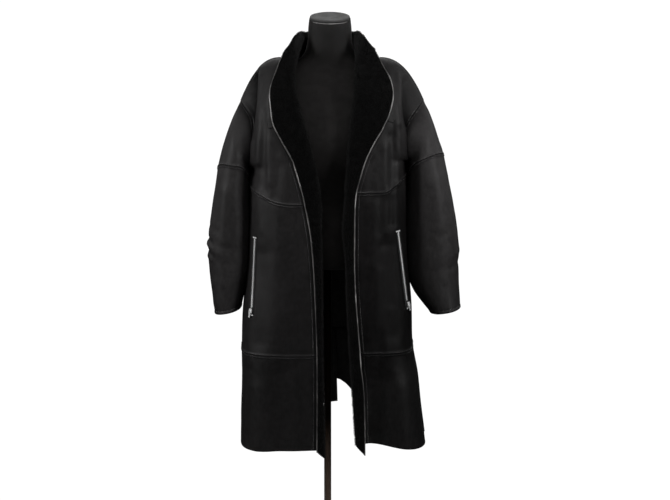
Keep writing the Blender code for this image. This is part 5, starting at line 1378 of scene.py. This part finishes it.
def make_stand():
    r, h = CAP_RADIUS, CAP_HEIGHT
    cap = lathe("form_neck_cap_fine", [
        (AXIS, 0.0040), (r * 0.55, 0.0052), (r * 0.86, 0.0056), (r - 0.0022, h), (r - 0.0010, h - 0.0004),
        (r - 0.0002, h - 0.0013), (r, h - 0.0025), (r, 0.0012), (r - 0.0008, 0.0002), (AXIS, 0.0)],
        MATERIALS["cap"], 96, CAP_PLACE, CAP_TILT)
    turn = Matrix.Translation(CAP_PLACE) @ Matrix.Rotation(CAP_TILT, 4, "X")
    ring = [turn @ Vector(((r + 0.0007) * math.cos(a), (r + 0.0007) * math.sin(a), -0.0022))
            for a in np.linspace(0, 2 * math.pi, 97)]
    placed(cap, "form_neck_cap")
    placed(tube("form_neck_piping", np.array(ring), PIPING_RADIUS, cap=False))
    top, low = FORM_BASE_Z - SEAM_GAP, FOOT_HEIGHT + SEAM_GAP
    pole = lathe("stand_pole_wood", [(AXIS, top)] + [(POLE_RADIUS, top - (top - low) * k / 40) for k in range(41)]
                 + [(AXIS, low)], MATERIALS["wood"], 48)
    placed(pole, "stand_pole")
    # out from the pole and up from the foot, in mm
    outline = [(0, 30), (4, 30), (5, 29.2), (5.6, 27.5), (7, 26.5), (7.4, 25), (7.4, 13), (8.6, 9), (11, 5.8),
               (15, 3), (16, 1.6), (16, 0), (0, 0), (0, 30)]
    collar = lathe("stand_collar_fine", [(POLE_RADIUS + SEAM_GAP + x / 1000, low + z / 1000) for x, z in outline],
                   MATERIALS["foot"])
    placed(collar, "stand_collar")
    r, h = FOOT_RADIUS, FOOT_HEIGHT
    foot = lathe("stand_foot_fine", [
        (AXIS, h), (r * 0.58, h), (r * 0.62, h - 0.0004), (r * 0.80, 0.0118), (r - 0.010, 0.0098),
        (r - 0.005, 0.0088), (r - 0.0015, 0.0070), (r, 0.0050), (r, 0.0012), (r - 0.0012, 0.0), (AXIS, 0.0)],
        MATERIALS["foot"], 128)
    placed(foot, "stand_foot")


# ---------------------------------------------------------------- stitching
STITCH_ENDS = 3              # rows of the net between the ends of a side's stitches and the seams across


def thread_line(surface, axis, base, offset, part=slice(None)):
    """Points and normals of a line on the shown surface, at a distance from a row (axis 0) or a column (axis 1)."""
    shown, normals, distance = surface.shown, surface.normals, surface.down
    if axis == 1:
        shown, normals, distance = (a.swapaxes(0, 1) for a in (shown, normals, surface.along))
    steps = np.arange(len(shown))
    line, line_normals = [], []
    for c in range(shown.shape[1])[part]:
        at = np.interp(distance[base, c] + offset, distance[:, c], steps)
        r = int(min(at, len(steps) - 2))
        f = at - r
        line.append(shown[r, c] * (1 - f) + shown[r + 1, c] * f)
        line_normals.append(normals[r, c])
    return np.array(line), np.array(line_normals)


def seam_lines(surface, band, top_start, start):
    """Lines of thread inside a band's seams at its top, its bottom and its side, in columns from a first one."""
    top, bottom = band
    lines = [thread_line(surface, 0, top, STITCH_OFFSET, slice(top_start, None)),
             thread_line(surface, 1, -1, -STITCH_OFFSET, between(band))]
    if bottom:
        lines.append(thread_line(surface, 0, bottom, -STITCH_OFFSET, slice(start, None)))
    return lines


def between(band):
    top, bottom = band
    return slice(top + STITCH_ENDS, bottom - STITCH_ENDS if bottom else None)


def add_stitches(node, lines):
    placed(stitches(node + "_stitching", lines))


def stitch_coat(surfaces):
    """Double rows of thread along every seam, one row by the cuffs and edges."""
    bands = {"upper": (0, ROW["chest"]), "middle": (ROW["chest"], ROW["skirt"]), "lower": (ROW["skirt"], None)}
    edge_start = int(np.argmax(V > 7.5))
    for side in SIDES:
        front, back, sleeve = (surfaces[name + side] for name in ("front_", "back_", "sleeve_"))
        for name, band in bands.items():
            lines = seam_lines(front, band, HIDDEN + 1, HIDDEN + 1)
            rows = between(band)
            rows = slice(max(rows.start, edge_start), rows.stop)
            add_stitches(f"front_{name}_{side}", lines + [thread_line(front, 1, HIDDEN, EDGE_STITCH, rows)])
        add_stitches("back_lower_" + side, seam_lines(back, bands["lower"], 0, 0)
                     + [thread_line(back, 1, 0, STITCH_OFFSET, between(bands["lower"]))])
        add_stitches("sleeve_upper_" + side, [thread_line(sleeve, 0, 0, STITCH_OFFSET),
                                              thread_line(sleeve, 0, sleeve.seam, -STITCH_OFFSET)])
        add_stitches("sleeve_lower_" + side, [thread_line(sleeve, 0, sleeve.seam, STITCH_OFFSET),
                                              thread_line(sleeve, 0, -1, -CUFF_STITCH)])
    for name, top_start in (("upper", NECK_END), ("middle", 0)):
        add_stitches("back_" + name, [line for side in SIDES
                                      for line in seam_lines(surfaces["back_" + side], bands[name], top_start, 0)])


# ---------------------------------------------------------------- light, floor and camera
WORLD_LIGHT = ((0.40, 0.010), (1.0, 0.20), (0.52, 0.05))      # (height of the direction, strength), horizon at 0.5
# name, place, target, size, power, spread in degrees
LAMPS = (
    ("top", (0.0, -1.6, 3.0), (0.0, 0.0, 1.32), (1.6, 1.0), 5.5, 60),
    ("left", (-2.4, -1.1, 1.9), (-0.2, 0.0, 1.10), (0.8, 1.6), 25, 90),
    ("right", (2.3, -1.7, 1.9), (0.25, 0.0, 1.15), (0.8, 1.4), 18, 70),
    ("rim_left", (-2.3, 1.3, 1.9), (0.0, 0.0, 1.10), (0.8, 1.6), 1.5, 100),
    ("rim_right", (2.2, 1.1, 2.1), (0.0, 0.0, 1.15), (0.8, 1.6), 4, 100),
    ("back", (0.0, 3.0, 2.6), (0.0, 0.0, 1.0), (2.4, 1.6), 36, 180))
CAMERA_PLACE, CAMERA_TILT = (0.0195, -4.0, 1.569), 80.4       # the tilt in degrees up from straight down
CAMERA_LENS, CAMERA_SENSOR = 83.8, 36.0


def make_world():
    """White to the camera, and dim light that grows with the height of the direction to everything else."""
    world = bpy.data.worlds.new("studio")
    bpy.context.scene.world = world
    world.use_nodes = True
    tree = world.node_tree
    tree.nodes.clear()
    output, mix, seen, light, path, way, split, ramp, span = (tree.nodes.new("ShaderNode" + kind) for kind in (
        "OutputWorld", "MixShader", "Background", "Background", "LightPath", "TexCoord", "SeparateXYZ", "ValToRGB",
        "MapRange"))
    span.inputs["From Min"].default_value = -1.0
    seen.inputs["Color"].default_value = (1.0, 1.0, 1.0, 1.0)
    seen.inputs["Strength"].default_value = 1.05
    light.inputs["Strength"].default_value = 1.0
    for element, (position, value) in zip((ramp.color_ramp.elements[0], ramp.color_ramp.elements[1],
                                           ramp.color_ramp.elements.new(0.52)), WORLD_LIGHT):
        element.position = position
        element.color = (value, value, value, 1.0)
    for source, target in (
            (way.outputs["Generated"], split.inputs["Vector"]), (split.outputs["Z"], span.inputs["Value"]),
            (span.outputs["Result"], ramp.inputs["Fac"]), (ramp.outputs["Color"], light.inputs["Color"]),
            (path.outputs["Is Camera Ray"], mix.inputs["Fac"]), (light.outputs["Background"], mix.inputs[1]),
            (seen.outputs["Background"], mix.inputs[2]), (mix.outputs["Shader"], output.inputs["Surface"])):
        tree.links.new(source, target)


def make_studio():
    scene = bpy.context.scene
    lathe("floor", [(AXIS, -0.0002), (0.60, -0.0002), (0.61, -0.0006)], floor_material(), 128)
    scene.view_settings.view_transform = "Standard"
    make_world()
    for name, place, target, size, power, spread in LAMPS:
        data = bpy.data.lights.new(name, "AREA")
        data.shape = "RECTANGLE"
        data.size, data.size_y = size
        data.energy, data.spread = power, math.radians(spread)
        lamp = bpy.data.objects.new(name, data)
        lamp.location = place
        lamp.rotation_euler = (Vector(target) - Vector(place)).to_track_quat("-Z", "Y").to_euler()
        scene.collection.objects.link(lamp)
    data = bpy.data.cameras.new("camera")
    data.lens, data.sensor_width = CAMERA_LENS, CAMERA_SENSOR
    camera = bpy.data.objects.new("camera", data)
    camera.location = CAMERA_PLACE
    camera.rotation_euler = (math.radians(CAMERA_TILT), 0.0, 0.0)
    scene.collection.objects.link(camera)
    scene.camera = camera


def dress_cad_nodes():
    """The small metal parts keep the solids' shape and get their own finish."""
    for name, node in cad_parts.items():
        if name.endswith(("_bar", "_slider", "_pull")):
            node.data.materials.clear()
            node.data.materials.append(MATERIALS["metal"])


def show_surfaces(surfaces):
    """Adds their relief to the surfaces, the sleeves clear of the body, and gives the body's tree."""
    body = {name: surface for name, surface in surfaces.items() if not name.startswith("sleeve")}
    for name, surface in surfaces.items():
        surface.shown = surface.grid + surface.normals * relief(name, surface)[..., None]
    tree = tree_of([(s.shown, s.closed, s.sign) for s in body.values()])
    for side in SIDES:
        shown = surfaces["sleeve_" + side].shown
        for r in range(FREE_ROWS, len(shown)):
            shown[r] = kept_clear(tree, shown[r], SHOWN_CLEARANCE)
    return tree


def main():
    surfaces, tree = make_surfaces()
    shown_tree = show_surfaces(surfaces)
    make_panels(surfaces)
    make_collars(surfaces, tree)
    make_tabs(shown_tree)
    make_zips(shown_tree)
    make_form(tree)
    make_stand()
    stitch_coat(surfaces)
    dress_cad_nodes()
    make_studio()


main()
